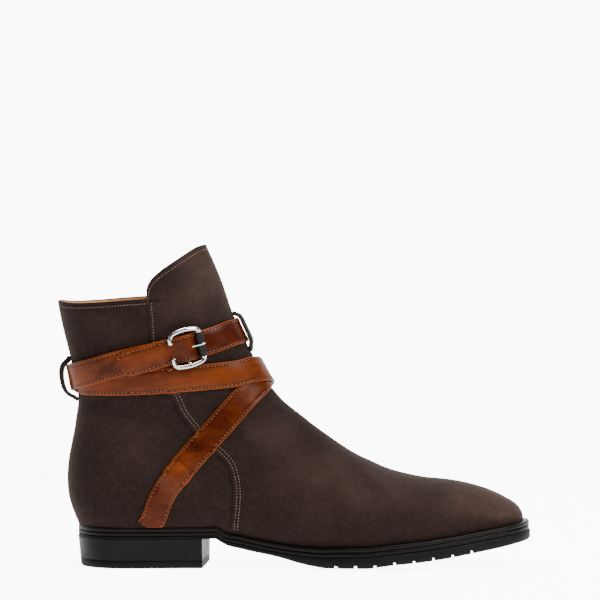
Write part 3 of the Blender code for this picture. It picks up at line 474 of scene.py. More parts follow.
# Routes of the straps over the upper

ROUTE_STEP = 5 * MM
STATION_ROOM = 2 * MM  # no other station lies closer to a stop than this


class Route:
    """A line on the upper that goes round the ankle.

    Its rows are (leg, along, height), in real sizes: leg 0 is on the side it starts from, leg 1 on the other,
    and so on. along is None for a place on the front or back silhouette, between two legs. A mirrored route
    starts on the medial side.
    """

    def __init__(self, rows, mirrored):
        self.side = -1 if mirrored else 1
        places = []
        for leg, along, height in self.denser(rows):
            level, turn = self.edge_place(leg, height) if along is None else find(along, height)
            places.append((level, leg * math.pi + turn if leg % 2 == 0 else (leg + 1) * math.pi - turn))
        places = np.array(places)
        points = surface(places[:, 0], self.side * places[:, 1])
        knots = lengths(points)
        rows = {"knot": knots, "level": places[:, 0], "turn": places[:, 1]}
        fine = np.linspace(0, knots[-1], 900)
        self.level, self.turn = curve(rows, "level", fine), curve(rows, "turn", fine)
        line = surface(self.level, self.side * self.turn)
        self.run = lengths(line)

    @staticmethod
    def denser(rows):
        """The rows, with more between neighbours on one leg, on a smooth line in the side view."""

        def stretch(row):
            return row[0], row[1] is not None

        more = []
        for (_, on_side), group in itertools.groupby(rows, key=stretch):
            group = list(group)
            if on_side and len(group) > 1:
                points = np.array([row[1:] for row in group])
                length = np.linalg.norm(np.diff(points, axis=0), axis=1).sum()
                line = line_through(points, int(length / ROUTE_STEP) + 2)
                group = [(group[0][0], x, z) for x, z in line]
            more += group
        return more

    @staticmethod
    def edge_place(leg, height):
        """A leg that is even ends at the front, an odd one at the back."""
        line = FRONT_LINE if leg % 2 == 0 else BACK_LINE
        rising = line if line is BACK_LINE else line[len(line) // 5 :]
        level = np.interp(height, rising[:, 1], np.linspace(1 - len(rising) / len(line), 1, len(rising)))
        return level, math.pi if leg % 2 == 0 else 0.0

    def at(self, run):
        return np.interp(run, self.run, self.level), self.side * np.interp(run, self.run, self.turn)

    def place(self, run, across, out):
        """Point at a run along the line, across it (up is positive) and out from the upper."""
        run, across, out = np.broadcast_arrays(*(np.asarray(v, float) for v in (run, across, out)))
        level, turn = self.at(run)
        here = surface(level, turn)
        step = 1.5 * MM
        before, after = surface(*self.at(run - step)), surface(*self.at(run + step))
        ahead = unit(after - before)
        normal = outward(level, turn)
        sideways = unit(np.cross(normal, ahead)) * self.side
        target = here + sideways * across[..., None]
        for _ in range(4):
            slopes = np.stack(slopes_of(level, turn), axis=-1)
            moved = np.einsum("...ij,...j->...i", np.linalg.pinv(slopes), target - surface(level, turn))
            level = np.clip(level + moved[..., 0], 0.001, 0.999)
            turn = turn + moved[..., 1]
        return surface(level, turn) + outward(level, turn) * out[..., None]

    def stations(self, start, end, stops=(), spacing=10 * MM, bend=0.22):
        """Runs from start to end, closer together where the line bends, with the stops among them."""
        fine = np.linspace(start, end, 400)
        normals = outward(*self.at(fine))
        turned = np.arccos(np.clip((normals[1:] * normals[:-1]).sum(-1), -1, 1))
        effort = np.concatenate([[0], np.cumsum(np.diff(fine) / spacing + turned / bend)])
        even = np.interp(np.linspace(0, effort[-1], int(effort[-1]) + 2), effort, fine)
        stops = np.array([stop for stop in stops if start < stop < end])
        ends = (even[0], even[-1])
        apart = [run for run in even if run in ends or not np.any(np.abs(stops - run) < STATION_ROOM)]
        return np.sort(np.concatenate([apart, stops]))


def run_near(route, leg, along):
    """The run at which a route passes this far along the foot on one of its legs."""
    on_leg = (route.turn >= leg * math.pi) & (route.turn <= (leg + 1) * math.pi)
    x = surface(route.level, route.side * route.turn)[on_leg, 0]
    order = np.argsort(x)
    return float(np.interp(along, x[order], route.run[on_leg][order]))


# The buckle's centre and tilt on the lateral side, which both straps pass through
BUCKLE_ALONG = 72.4 * MM
BUCKLE_HEIGHT = 147.2 * MM
BUCKLE_TILT = math.radians(13.8)
BUCKLE_RUN = 12 * MM  # the straps run straight this far each side of it

# Places where a strap changes its layer, shares of SOLE_LENGTH along the foot: the buckle's strap rises over
# the tip's on the inner side and comes down where the two part, and the tip's strap rises over the crossing
# on the front.
LAYER_UP = (0.290, 0.237)
STRAPS_PART = 0.184
CROSS_UP = (0.306, 0.352)
CROSS_DOWN = (0.332, 0.283)
TIP_CORNER = 0.1125
TIP_LAYER = 3.16

# Where the two straps pass: the tab, the diagonal, the crossing on the front, the low leg round the back, and
# the rise from the back to the buckle. along and height: shares of SOLE_LENGTH and BOOT_HEIGHT.
DIAGONAL = ((0.1660, 0.150), (0.1910, 0.234), (0.2285, 0.3065), (0.3075, 0.4330), (0.3600, 0.5180))
CROSSING = 0.602
LOW_LEG = ((0.3380, 0.5990), (0.2470, 0.5895), (0.1390, 0.5795), (0.0240, 0.5765))
BACK_PASS = 0.5880
HIGH_LEG = ((0.0150, 0.6020), (0.0850, 0.6335))
HIGH_FRONT = ((0.3100, 0.7125),)
HIGH_RIDGE = 0.7330
TIP_BEYOND = ((0.1330, 0.6460), (0.0900, 0.6300), (0.0500, 0.6150))


def leg_rows(leg, shares):
    return [(leg, along * SOLE_LENGTH, height * BOOT_HEIGHT) for along, height in shares]


def buckle_rows(leg):
    """Three places in line through the buckle's centre, from its back to its front."""
    rows = []
    for run in (-BUCKLE_RUN, 0, BUCKLE_RUN):
        along = BUCKLE_ALONG + run * math.cos(BUCKLE_TILT)
        rows.append((leg, along, BUCKLE_HEIGHT + run * math.sin(BUCKLE_TILT)))
    return rows


def strap_start():
    rows = leg_rows(0, DIAGONAL)
    rows.append((0, None, CROSSING * BOOT_HEIGHT))
    rows += leg_rows(1, LOW_LEG)
    rows.append((1, None, BACK_PASS * BOOT_HEIGHT))
    return rows + leg_rows(2, HIGH_LEG)


def buckle_route():
    route = Route(strap_start() + buckle_rows(2), mirrored=False)
    return route, run_near(route, 2, BUCKLE_ALONG)


def tip_route():
    rows = strap_start() + buckle_rows(2)[1:2] + leg_rows(2, HIGH_FRONT)
    rows.append((2, None, HIGH_RIDGE * BOOT_HEIGHT))
    rows += leg_rows(3, HIGH_FRONT)
    rows += buckle_rows(3)[::-1]
    rows += leg_rows(3, TIP_BEYOND)
    route = Route(rows, mirrored=True)
    return route, run_near(route, 3, BUCKLE_ALONG)


def even_turns(count):
    """Turns round the foot, in pairs that lie opposite each other."""
    turns = (np.arange(count) + 0.5) * 2 * math.pi / count
    return turns + SPREAD * np.sin(2 * turns)


def outline(turns, grow):
    """The feather line from above, grown outwards by a distance that may differ from point to point."""
    step = 1e-3

    def flat(turn):
        part = (1 - np.cos(turn)) / 2
        x = FEATHER_BACK + (FEATHER_TOE - FEATHER_BACK) * part
        back = rounded((x - FEATHER_BACK) / HEEL_ROUND, HEEL_ROUND_SHAPE)
        lateral = np.sin(turn) >= 0
        half = np.where(lateral, -plan_half(x, "lateral"), plan_half(x, "medial"))
        return np.stack([x, spine(x) + half * back], axis=-1)

    here = flat(turns)
    ahead = unit(flat(turns + step) - flat(turns - step))
    normal = np.stack([ahead[:, 1], -ahead[:, 0]], axis=-1)
    return here + normal * np.broadcast_to(grow, turns.shape)[:, None]


def ledge(turns):
    """How far the sole's edge stands out past the feather line."""
    x = FEATHER_BACK + (FEATHER_TOE - FEATHER_BACK) * (1 - np.cos(turns)) / 2
    return curve(PLAN, "ledge", x / SOLE_LENGTH) * WELT_LEDGE


def inward(flat, share):
    """Points of an outline drawn in towards the foot's middle. share 1 leaves them, 0 is the middle."""
    x = np.clip(flat[:, 0], HEEL_ROUND, FEATHER_TOE - 1.3 * TOE_ROUND)
    middle = np.stack([x, spine(x)], axis=-1)
    return middle + share * (flat - middle)


def raised(flat, height):
    return np.column_stack([flat, np.broadcast_to(height, len(flat))])


def layer_height(layer):
    """Height of the middle of a strap that lies in this layer, counted from 1 next to the upper."""
    return SEAT + (layer - 1) * LAYER + STRAP_THICKNESS / 2


def leg_heights(runs, changes):
    """Heights of a strap's middle at these runs. changes: (run, layer) pairs, level beyond each end."""
    places = np.array(changes, float)
    return layer_height(np.interp(runs, places[:, 0], places[:, 1]))


def strap_line(route, start, end, changes, spacing=10 * MM):
    """A strap's stations from start to end of its route, with a station at each change of layer."""
    runs = route.stations(start, end, [run for run, _ in changes], spacing)
    return [(run, height, STRAP_THICKNESS) for run, height in zip(runs, leg_heights(runs, changes))]


def tail(from_run, line, thickness=STRAP_THICKNESS):
    """The points of a line given as (run, height) pairs from a run on."""
    return [(from_run + run, height, thickness) for run, height in line]


BAR_HEIGHT = 3.7 * MM
EYE = BAR_DIAMETER / 2 + RUNNING_GAP + CHAPE_THICKNESS / 2
CURL = BAR_DIAMETER / 2 + RUNNING_GAP + PRONG_DIAMETER / 2
PIN_ALONG = (FRAME_ALONG - WIRE) / 2
PIN_INSET = 0.4 * MM  # from the frame's corners to the thin pin
ROLLER_HEIGHT = layer_height(1) + STRAP_THICKNESS / 2 + GAP + ROLLER_DIAMETER / 2
STUB_HEIGHT = layer_height(2.75) + STRAP_THICKNESS / 2 + GAP + WIRE / 2


# The tip strap over the buckle, from its front to its back, in mm: distance in front of the bar, height of
# its middle
HUMP = (
    (7.6, 1.35),
    (6.2, 2.0),
    (5.2, 3.6),
    (4.5, 5.3),
    (3.6, 6.8),
    (2.0, 7.8),
    (0.0, 8.0),
    (-2.0, 7.5),
    (-3.8, 6.1),
    (-5.4, 4.7),
    (-7.2, 3.8),
)


def prong_height(ahead):
    """Height of the prong's middle: straight from the top of its curl to the roller's top."""
    low = BAR_HEIGHT + CURL
    high = ROLLER_HEIGHT + ROLLER_DIAMETER / 2 + 2 * RUNNING_GAP + PRONG_DIAMETER / 2
    return low + (high - low) * ahead / PIN_ALONG


def frame_line():
    """The frame's wire from its upper stub round the front to its lower one, as (ahead, across, thickness).

    The thickness is a share of WIRE.
    """
    along, across = PIN_ALONG, (FRAME_ACROSS - WIRE) / 2
    thin = PIN_DIAMETER / WIRE
    line = [(-along, STUB_GAP / 2, 1.0)]
    corners = ((-1, 1, 180), (1, 1, 90), (1, -1, 0), (-1, -1, -90))
    for side, end, first in corners:
        for degrees in (0, 30, 60, 90):
            angle = math.radians(first - degrees)
            ahead = side * (along - FRAME_CORNER) + FRAME_CORNER * math.cos(angle)
            sideways = end * (across - FRAME_CORNER) + FRAME_CORNER * math.sin(angle)
            line.append((ahead, sideways, 1.0))
        if (side, end) == (1, 1):
            pin = across - FRAME_CORNER - PIN_INSET
            line += [(along, pin, thin), (along, 0, thin), (along, -pin, thin)]
    line.append((-along, -STUB_GAP / 2, 1.0))
    return line


def frame_height(ahead):
    """The frame leans from its stubs, over the tip strap, down to its front side under the roller."""
    return STUB_HEIGHT + (ROLLER_HEIGHT - STUB_HEIGHT) * (ahead + PIN_ALONG) / (2 * PIN_ALONG)


# Loops, as (across, height of the middle) in millimetres from the straps' middle line
BACK_LOOP = (
    (12.9, 1.7),
    (11.7, 3.0),
    (10.7, 5.0),
    (9.0, 7.2),
    (5.0, 8.8),
    (0.0, 9.3),
    (-5.0, 9.0),
    (-9.0, 7.8),
    (-11.8, 5.6),
    (-13.4, 3.2),
    (-14.8, 1.7),
)
FRONT_LOOP = (
    (12.1, 1.65),
    (11.0, 2.4),
    (10.2, 3.6),
    (8.6, 4.4),
    (4.0, 4.6),
    (0.0, 4.6),
    (-4.0, 4.6),
    (-9.0, 4.4),
    (-11.0, 3.2),
    (-12.4, 1.9),
    (-14.2, 1.65),
)


SHIFT = np.array([HEEL_LENGTH / 2, 0, 0])  # from this script's distances to the frame's

# Materials


class Nodes:
    """Short calls for a material's nodes."""

    def __init__(self, name):
        self.material = bpy.data.materials.new(name)
        self.material.use_nodes = True
        self.tree = self.material.node_tree
        self.shader = self.tree.nodes["Principled BSDF"]
        self.place = self.tree.nodes.new("ShaderNodeTexCoord").outputs["Object"]

    def link(self, source, target):
        self.tree.links.new(source, target)

    def noise(self, scale, detail=4.0, roughness=0.6, stretch=(1, 1, 1)):
        mapping = self.tree.nodes.new("ShaderNodeMapping")
        mapping.inputs["Scale"].default_value = stretch
        self.link(self.place, mapping.inputs["Vector"])
        made = self.tree.nodes.new("ShaderNodeTexNoise")
        made.inputs["Scale"].default_value = scale
        made.inputs["Detail"].default_value = detail
        made.inputs["Roughness"].default_value = roughness
        self.link(mapping.outputs[0], made.inputs["Vector"])
        return made.outputs["Fac"]

    def cells(self, scale):
        made = self.tree.nodes.new("ShaderNodeTexVoronoi")
        made.inputs["Scale"].default_value = scale
        self.link(self.place, made.inputs["Vector"])
        return made.outputs["Distance"]

    def attribute(self, name):
        made = self.tree.nodes.new("ShaderNodeAttribute")
        made.attribute_name = name
        return made.outputs["Fac"]

    def ramp(self, value, *stops):
        """stops: (position, color or grey)."""
        made = self.tree.nodes.new("ShaderNodeValToRGB")
        elements = made.color_ramp.elements
        while len(elements) < len(stops):
            elements.new(0.5)
        for element, (position, color) in zip(elements, stops):
            element.position = position
            element.color = (*color, 1) if isinstance(color, tuple) else (color, color, color, 1)
        self.link(value, made.inputs["Fac"])
        return made.outputs["Color"]

    def mix(self, share, first, second, blend="MIX"):
        made = self.tree.nodes.new("ShaderNodeMix")
        made.data_type = "RGBA"
        made.blend_type = blend
        for value, socket in ((share, made.inputs[0]), (first, made.inputs[6]), (second, made.inputs[7])):
            if isinstance(value, tuple):
                socket.default_value = (*value, 1)
            elif isinstance(value, float):
                socket.default_value = value
            else:
                self.link(value, socket)
        return made.outputs[2]

    def bump(self, height, strength, distance, normal=None):
        made = self.tree.nodes.new("ShaderNodeBump")
        made.inputs["Strength"].default_value = strength
        made.inputs["Distance"].default_value = distance
        self.link(height, made.inputs["Height"])
        if normal is not None:
            self.link(normal, made.inputs["Normal"])
        return made.outputs["Normal"]

    def finish(self, color=None, roughness=None, normal=None, **values):
        for value, name in ((color, "Base Color"), (roughness, "Roughness"), (normal, "Normal")):
            if isinstance(value, tuple):
                self.shader.inputs[name].default_value = (*value, 1)
            elif isinstance(value, float):
                self.shader.inputs[name].default_value = value
            elif value is not None:
                self.link(value, self.shader.inputs[name])
        for name, value in values.items():
            self.shader.inputs[name.replace("_", " ")].default_value = value
        return self.material


def suede(name, dark, middle, light):
    made = Nodes(name)
    patches = made.ramp(made.noise(16, 5, 0.62), (0.3, 0.0), (0.72, 1.0))
    nap = made.noise(900, 5, 0.75)
    base = made.mix(patches, dark, middle)
    tufts = made.ramp(made.noise(230, 4, 0.7), (0.4, 0.0), (0.8, 0.26))
    base = made.mix(tufts, base, light)
    fibres = made.ramp(nap, (0.45, 0.0), (0.85, 0.55))
    color = made.mix(fibres, base, light)
    # Painted highlight: the attribute lightens the suede where the lamps light the flap, instep and toe. It
    # also lightens the crease swells, and gives an even lighter tone to the collar rim, the folds and the loops
    highlighted = made.mix(made.attribute("nap_and_painted_highlight"), color, light)
    color = made.mix(made.ramp(made.noise(55, 5, 0.7), (0.3, 0.45), (0.62, 1.0)), color, highlighted)
    normal = made.bump(nap, 0.5, 0.0004)
    normal = made.bump(made.noise(90, 3, 0.5), 0.22, 0.0007, normal)
    roughness = made.ramp(nap, (0.2, 0.98), (0.8, 0.86))
    tint = (0.8, 0.55, 0.45, 1)
    sheen = {"Sheen_Weight": 0.07, "Sheen_Roughness": 0.45, "Sheen_Tint": tint}
    return made.finish(color, roughness, normal, Specular_IOR_Level=0.12, **sheen)


def leather(name, dark, middle, light, gloss=0.36, grain=900, edge=0.0):
    made = Nodes(name)
    clouds = made.ramp(made.noise(34, 6, 0.65), (0.28, 0.0), (0.7, 1.0))
    color = made.mix(clouds, dark, middle)
    pull = made.ramp(made.noise(26, 4, 0.55, (1, 1, 1.8)), (0.42, 0.0), (0.7, 0.55))
    color = made.mix(pull, color, light)
    if edge:
        across = made.attribute("edge")
        # Painted shade: a darker band along the stitch groove, then a lighter burnished band at the very edge
        color = made.mix(made.ramp(across, (0.62, 0.0), (0.79, edge), (0.86, 0.15), (0.9, 0.0)), color, dark)
        color = made.mix(made.ramp(across, (0.9, 0.0), (0.975, 0.85), (1.0, 0.2)), color, light)
    pores = made.cells(grain)
    normal = made.bump(pores, 0.12, 0.0001)
    normal = made.bump(made.noise(110, 4, 0.6), 0.12, 0.0004, normal)
    roughness = made.ramp(made.noise(60, 5, 0.6), (0.3, gloss - 0.08), (0.75, gloss + 0.14))
    return made.finish(color, roughness, normal, Specular_IOR_Level=0.09)


def sole_edge(name, dark, light, gloss, layers=0.0):
    made = Nodes(name)
    clouds = made.ramp(made.noise(40, 6, 0.7, (1, 1, 3)), (0.3, 0.0), (0.75, 1.0))
    color = made.mix(clouds, dark, light)
    streaks = made.noise(260, 4, 0.6, (0.12, 0.12, 3.0))
    color = made.mix(made.ramp(streaks, (0.5, 0.0), (0.8, 0.5)), color, light)
    normal = made.bump(streaks, 0.2 + layers, 0.00025)
    normal = made.bump(made.noise(700, 3, 0.6), 0.12, 0.0001, normal)
    roughness = made.ramp(made.noise(50, 5, 0.65), (0.3, gloss), (0.75, gloss + 0.22))
    return made.finish(color, roughness, normal, Specular_IOR_Level=0.1)


def metal(name, color, gloss):
    made = Nodes(name)
    smudges = made.ramp(made.noise(120, 4, 0.6), (0.3, gloss), (0.8, gloss + 0.08))
    normal = made.bump(made.noise(500, 3, 0.5, (1, 1, 6)), 0.04, 0.0001)
    return made.finish(color, smudges, normal, Metallic=1.0)


def thread(name, color, light):
    made = Nodes(name)
    twist = made.noise(2600, 2, 0.5)
    color = made.mix(made.ramp(twist, (0.4, 0.0), (0.65, 1.0)), color, light)
    return made.finish(color, 0.75, made.bump(twist, 0.4, 0.0001))


# Meshes


def piece(name, points, faces, finish, nodes=(), layers=None):
    """A piece of the boot that moves with it. layers: name to a value for each point."""
    mesh = bpy.data.meshes.new(name)
    mesh.from_pydata((np.asarray(points) - SHIFT).tolist(), [], [tuple(map(int, face)) for face in faces])
    cleaner = bmesh.new()
    cleaner.from_mesh(mesh)
    bmesh.ops.recalc_face_normals(cleaner, faces=cleaner.faces)
    cleaner.to_mesh(mesh)
    cleaner.free()
    mesh.shade_smooth()
    mesh.set_sharp_from_angle(angle=math.radians(50))
    for layer, values in (layers or {}).items():
        added = mesh.attributes.new(layer, "FLOAT", "POINT")
        added.data.foreach_set("value", np.asarray(values, "f").ravel())
    mesh.materials.append(finish)
    made = bpy.data.objects.new(name, mesh)
    bpy.context.scene.collection.objects.link(made)
    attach(made, "root")
    if nodes:
        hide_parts(*nodes)
    return made


def grid_faces(count, around, closed=True, joined=False):
    faces = []
    for r in range(count if joined else count - 1):
        near, far = r * around, (r + 1) % count * around
        for j in range(around if closed else around - 1):
            k = (j + 1) % around
            faces.append((near + j, near + k, far + k, far + j))
    return faces


def lofted(name, rings, finish, nodes=(), ends="capped", layers=None):
    rings = np.array(rings)
    count, around = rings.shape[:2]
    faces = grid_faces(count, around, joined=ends == "joined")
    if ends == "capped":
        for base in (0, (count - 1) * around):
            for j in range(around // 2 - 1):
                faces.append((base + j, base + j + 1, base + around - 2 - j, base + around - 1 - j))
    return piece(name, rings.reshape(-1, 3), faces, finish, nodes, layers)


# Upper

UPPER_LEVELS = 170
UPPER_TURNS = 400

FADE_FROM, FADE_TO = 2 * MM, 12 * MM  # the creases grow from nothing between these heights over the welt
RIDGE_LIGHTENED = 0.6 * MM  # a swell this high is lightened in full
# The collar's rolled edge: share of the way from the outside to the inside, height in mm
RIM = ((0.0, 0.4), (0.25, 0.75), (0.65, 0.75), (1.0, 0.35))

# Soft troughs (negative) and swells of the suede on both sides, along lines in the side view, sizes in mm
CREASES = table(
    "x0 z0 x1 z1 width depth",
    (183, 66, 205, 44, 6.5, -0.75),
    (193, 63, 217, 43, 5.5, 0.5),
    (170, 72, 186, 47, 7.0, 0.5),
    (205, 62, 226, 46, 6.0, -0.55),
    (150, 86, 163, 60, 8.0, -0.5),
    (120, 106, 138, 84, 9.0, -0.6),
    (104, 112, 118, 90, 8.0, 0.5),
    (10, 112, 60, 106, 8.0, -0.6),
    (-2, 100, 52, 92, 9.0, 0.5),
    (90, 104, 112, 78, 7.0, -0.5),
    (30, 84, 70, 62, 12.0, 0.6),
    (130, 58, 160, 36, 12.0, 0.5),
    (12, 168, 40, 152, 9.0, 0.5),
    (66, 196, 84, 168, 8.0, -0.4),
)

# Painted highlights: the suede made lighter where the lamps light the flap, the instep and the toe, as soft
# ovals in the side view, sizes in mm
PAINTED_HIGHLIGHTS = table(
    "x z wide high share",
    (84, 190, 12, 17, 0.85),
    (74, 206, 12, 8, 0.5),
    (64, 172, 16, 16, 0.35),
    (132, 88, 16, 13, 0.6),
    (112, 116, 10, 12, 0.3),
    (160, 66, 22, 13, 0.55),
    (200, 52, 34, 14, 0.5),
    (284, 42, 16, 8, 2.0),
    (262, 46, 22, 10, 1.0),
    (26, 74, 24, 30, 0.12),
)


def painted_highlight(x, z):
    """Share of painted highlight, lighter suede where the lamps light it, at places of the side view."""
    total = np.zeros_like(x)
    for x0, z0, wide, high, share in np.array(list(PAINTED_HIGHLIGHTS.values())).T:
        away = ((x - x0 * MM) / (wide * MM)) ** 2 + ((z - z0 * MM) / (high * MM)) ** 2
        total += share * np.exp(-away)
    return total


def relief(x, z):
    """Height of the creases at places of the side view."""
    total = np.zeros_like(x)
    rows = np.array(list(CREASES.values())).T * MM
    for x0, z0, x1, z1, width, depth in rows:
        run = np.array([x1 - x0, z1 - z0])
        t = np.clip(((x - x0) * run[0] + (z - z0) * run[1]) / (run**2).sum(), 0, 1)
        away = np.hypot(x - x0 - t * run[0], z - z0 - t * run[1])
        total += depth * np.exp(-((away / width) ** 2))
    return total


def build_upper(finish, inside):
    turns = even_turns(UPPER_TURNS)
    outer, inner, nap_and_painted_highlight = [], [], []
    for level in np.linspace(0, 1, UPPER_LEVELS):
        at = np.full(UPPER_TURNS, level)
        skin, normal = surface(at, turns), outward(at, turns)
        x, z = skin[:, 0], skin[:, 2]
        fade = smooth(z - edge_height(x, 3), FADE_FROM, FADE_TO) * (1 - smooth(level, 0.95, 1.0))
        swell = relief(x, z)
        outer.append(skin + normal * (swell * fade)[:, None])
        inner.append(skin - normal * WALL)
        # Lighter suede on the crease swells, and painted highlights where the lamps light the upper
        nap_and_painted_highlight.append(0.25 * np.clip(swell / RIDGE_LIGHTENED, 0, 1) * fade + painted_highlight(x, z))
    up = unit(slopes_of(np.full(UPPER_TURNS, 1.0), turns)[0])
    top, low = outer[-1], inner[-1]
    rim = [top * (1 - share) + low * share + up * rise * MM for share, rise in RIM]
    rings = np.array([*outer, *rim, low])
    nap_and_highlight_rings = np.array(nap_and_painted_highlight + [np.full(UPPER_TURNS, 0.1)] * (len(RIM) + 1))
    faces = grid_faces(len(rings), UPPER_TURNS)
    piece("upper_suede", rings.reshape(-1, 3), faces, finish, ("upper",), {"nap_and_painted_highlight": nap_and_highlight_rings})
    lining = np.array([*inner[::-3], inner[0]])
    faces = grid_faces(len(lining), UPPER_TURNS)
    piece("upper_lining", lining.reshape(-1, 3), faces, inside, ("upper",))


# Line of stitches where the front piece lies over the quarter, outer side, in mm along the foot and up
WING = table(
    "along height",
    (49.8, 178.2),
    (50.6, 168.0),
    (52.6, 146.1),
    (59.2, 129.5),
    (66.5, 114.3),
    (70.9, 104.4),
    (79.8, 93.1),
    (85.7, 85.8),
    (95.0, 77.9),
    (101.7, 71.2),
    (104.9, 63.6),
    (106.6, 54.7),
    (106.1, 38.1),
    (104.6, 25.0),
)


def wing_route(mirrored):
    rows = [(0, x * MM, z * MM) for x, z in zip(WING["along"], WING["height"])]
    return Route(rows, mirrored)


FOLD_BACK = 2.3 * MM  # from the first row of stitches back to the folded edge
FOLD_HEIGHT = 1.35 * MM
FOLD_STEP = 1.5 * MM
FOLD_START, FOLD_END = 0.4 * MM, 0.3 * MM  # left free at the seam's two ends
FORWARD = -1  # the side of the seam's line that lies ahead of it
# The folded edge's section: distance ahead of the seam, share of FOLD_HEIGHT
FOLD_PROFILE = np.array([
    (-FOLD_BACK, -0.5),
    (-FOLD_BACK - 0.12 * MM, 0.15),
    (-FOLD_BACK, 0.62),
    (-FOLD_BACK + 0.45 * MM, 0.95),
    (-FOLD_BACK + 1.2 * MM, 1.0),
    (-0.5 * MM, 0.86),
    (0, 0.72),
    (0.5 * MM, 0.84),
    (1.2 * MM, 0.86),
    (2.3 * MM, 0.68),
    (2.8 * MM, 0.74),
    (6 * MM, 0.5),
    (10 * MM, 0.2),
    (14 * MM, -0.25),
])


def build_fold(name, route, finish):
    """The front piece's folded edge: a strip along the seam that fades into the suede ahead of it."""
    runs = np.arange(FOLD_START, route.run[-1] - FOLD_END, FOLD_STEP)
    across, out = FOLD_PROFILE[:, 0], FOLD_PROFILE[:, 1] * FOLD_HEIGHT
    points = route.place(runs[:, None], -across[None, :] * FORWARD, out[None, :])
    # Painted highlights on the folded edge too, over a slight even lightening
    nap_and_painted_highlight = 0.04 + painted_highlight(points[..., 0], points[..., 2])
    faces = grid_faces(len(runs), len(across), closed=False)
    piece(name, points.reshape(-1, 3), faces, finish, ("upper",), {"nap_and_painted_highlight": nap_and_painted_highlight})


# Stitches

STITCH = 0.46 * MM  # thickness of the thread
STITCH_STEP = 0.4 * MM  # used to find a stitch's direction
UPPER_STITCH = 1.4 * MM
UPPER_PITCH = 1.95 * MM
WING_OUT = 1.05 * MM
SECOND_ROW, SECOND_BACK, SECOND_OUT = 38 * MM, 2.3 * MM, 1.0 * MM  # where it starts, how far behind the first
COLLAR_DOWN, COLLAR_OUT = 2.6 * MM, 0.12 * MM
COLLAR_BACK, COLLAR_FRONT = 0.12, 0.02  # turns left free at the back seam and at the flap's tip
COLLAR_POINTS = 500


def stitch_mesh(name, rows, finish, nodes=()):
    """One piece of many stitches. rows: (place, runs, across, out, length, width)."""
    sides, steps = 6, 5
    angles = np.arange(sides) * 2 * math.pi / sides
    body = grid_faces(steps, sides)
    points, faces = [], []
    for place, runs, across, out, length, width in rows:
        runs = np.asarray(runs, float)
        middle = place(runs, across, out)
        before, after = place(runs - STITCH_STEP, across, out), place(runs + STITCH_STEP, across, out)
        ahead = unit(after - before + 1e-12)
        normal = unit(place(runs, across, out + 0.5 * MM) - middle)
        sideways = np.cross(normal, ahead)
        for m, a, s, n in zip(middle, ahead, sideways, normal):
            base = len(points)
            for k in range(steps):
                t = -1 + 2 * k / (steps - 1)
                radius = width / 2 * math.sqrt(max(0.06, 1 - t**4))
                sink = width * 0.55 * t**4
                centre = m + a * t * length / 2 - n * sink
                for angle in angles:
                    points.append(centre + s * radius * math.cos(angle) + n * radius * 0.8 * math.sin(angle))
            faces += [tuple(base + k for k in face) for face in body]
            faces.append(tuple(base + j for j in range(sides))[::-1])
            faces.append(tuple(base + (steps - 1) * sides + j for j in range(sides)))
    return piece(name, points, faces, finish, nodes)


def collar_place(turn, down, out):
    """Point near the collar, down from its edge by a distance. Here a stitch's run is a turn round it."""
    turn = np.asarray(turn, float)
    level = np.ones_like(turn)
    edge = surface(level, turn)
    low = surface(level - 0.03, turn)
    step = 0.03 * down / np.linalg.norm(edge - low, axis=-1)
    return surface(1 - step, turn) + outward(1 - step, turn) * out


def stitch_upper(suede_finish, thread_finish):
    """The two folded seams and the stitches along them and along the collar."""
    rows = []
    for name, mirrored in (("fold_lateral", False), ("fold_medial", True)):
        route = wing_route(mirrored)
        build_fold(name, route, suede_finish)
        runs = np.arange(1.5 * MM, route.run[-1] - 2 * MM, UPPER_PITCH)
        rows.append((route.place, runs, 0.0, WING_OUT, UPPER_STITCH, STITCH))
        low = runs[runs > SECOND_ROW]
        rows.append((route.place, low, -SECOND_BACK * FORWARD, SECOND_OUT, UPPER_STITCH, STITCH))
    turns = []
    full = 2 * math.pi
    for low, high in ((COLLAR_BACK, math.pi - COLLAR_FRONT), (math.pi + COLLAR_FRONT, full - COLLAR_BACK)):
        along = np.linspace(low, high, COLLAR_POINTS)
        length = lengths(surface(np.ones(COLLAR_POINTS), along))
        turns.append(np.interp(np.arange(0, length[-1], UPPER_PITCH), length, along))
    rows.append((collar_place, np.concatenate(turns), COLLAR_DOWN, COLLAR_OUT, UPPER_STITCH, STITCH))
    stitch_mesh("upper_stitches", rows, thread_finish)


# Sole

SOLE_TURNS = 300
HEEL_POINTS = 120
EDGE_SOFT = 0.35 * MM  # rounding of the welt's and midsole's edges
OUTSOLE_SOFT = 0.4 * MM
OUTSOLE_TUCK = 0.8 * MM  # rounding under the outsole's edge
LIFT_SOFT = 0.25 * MM


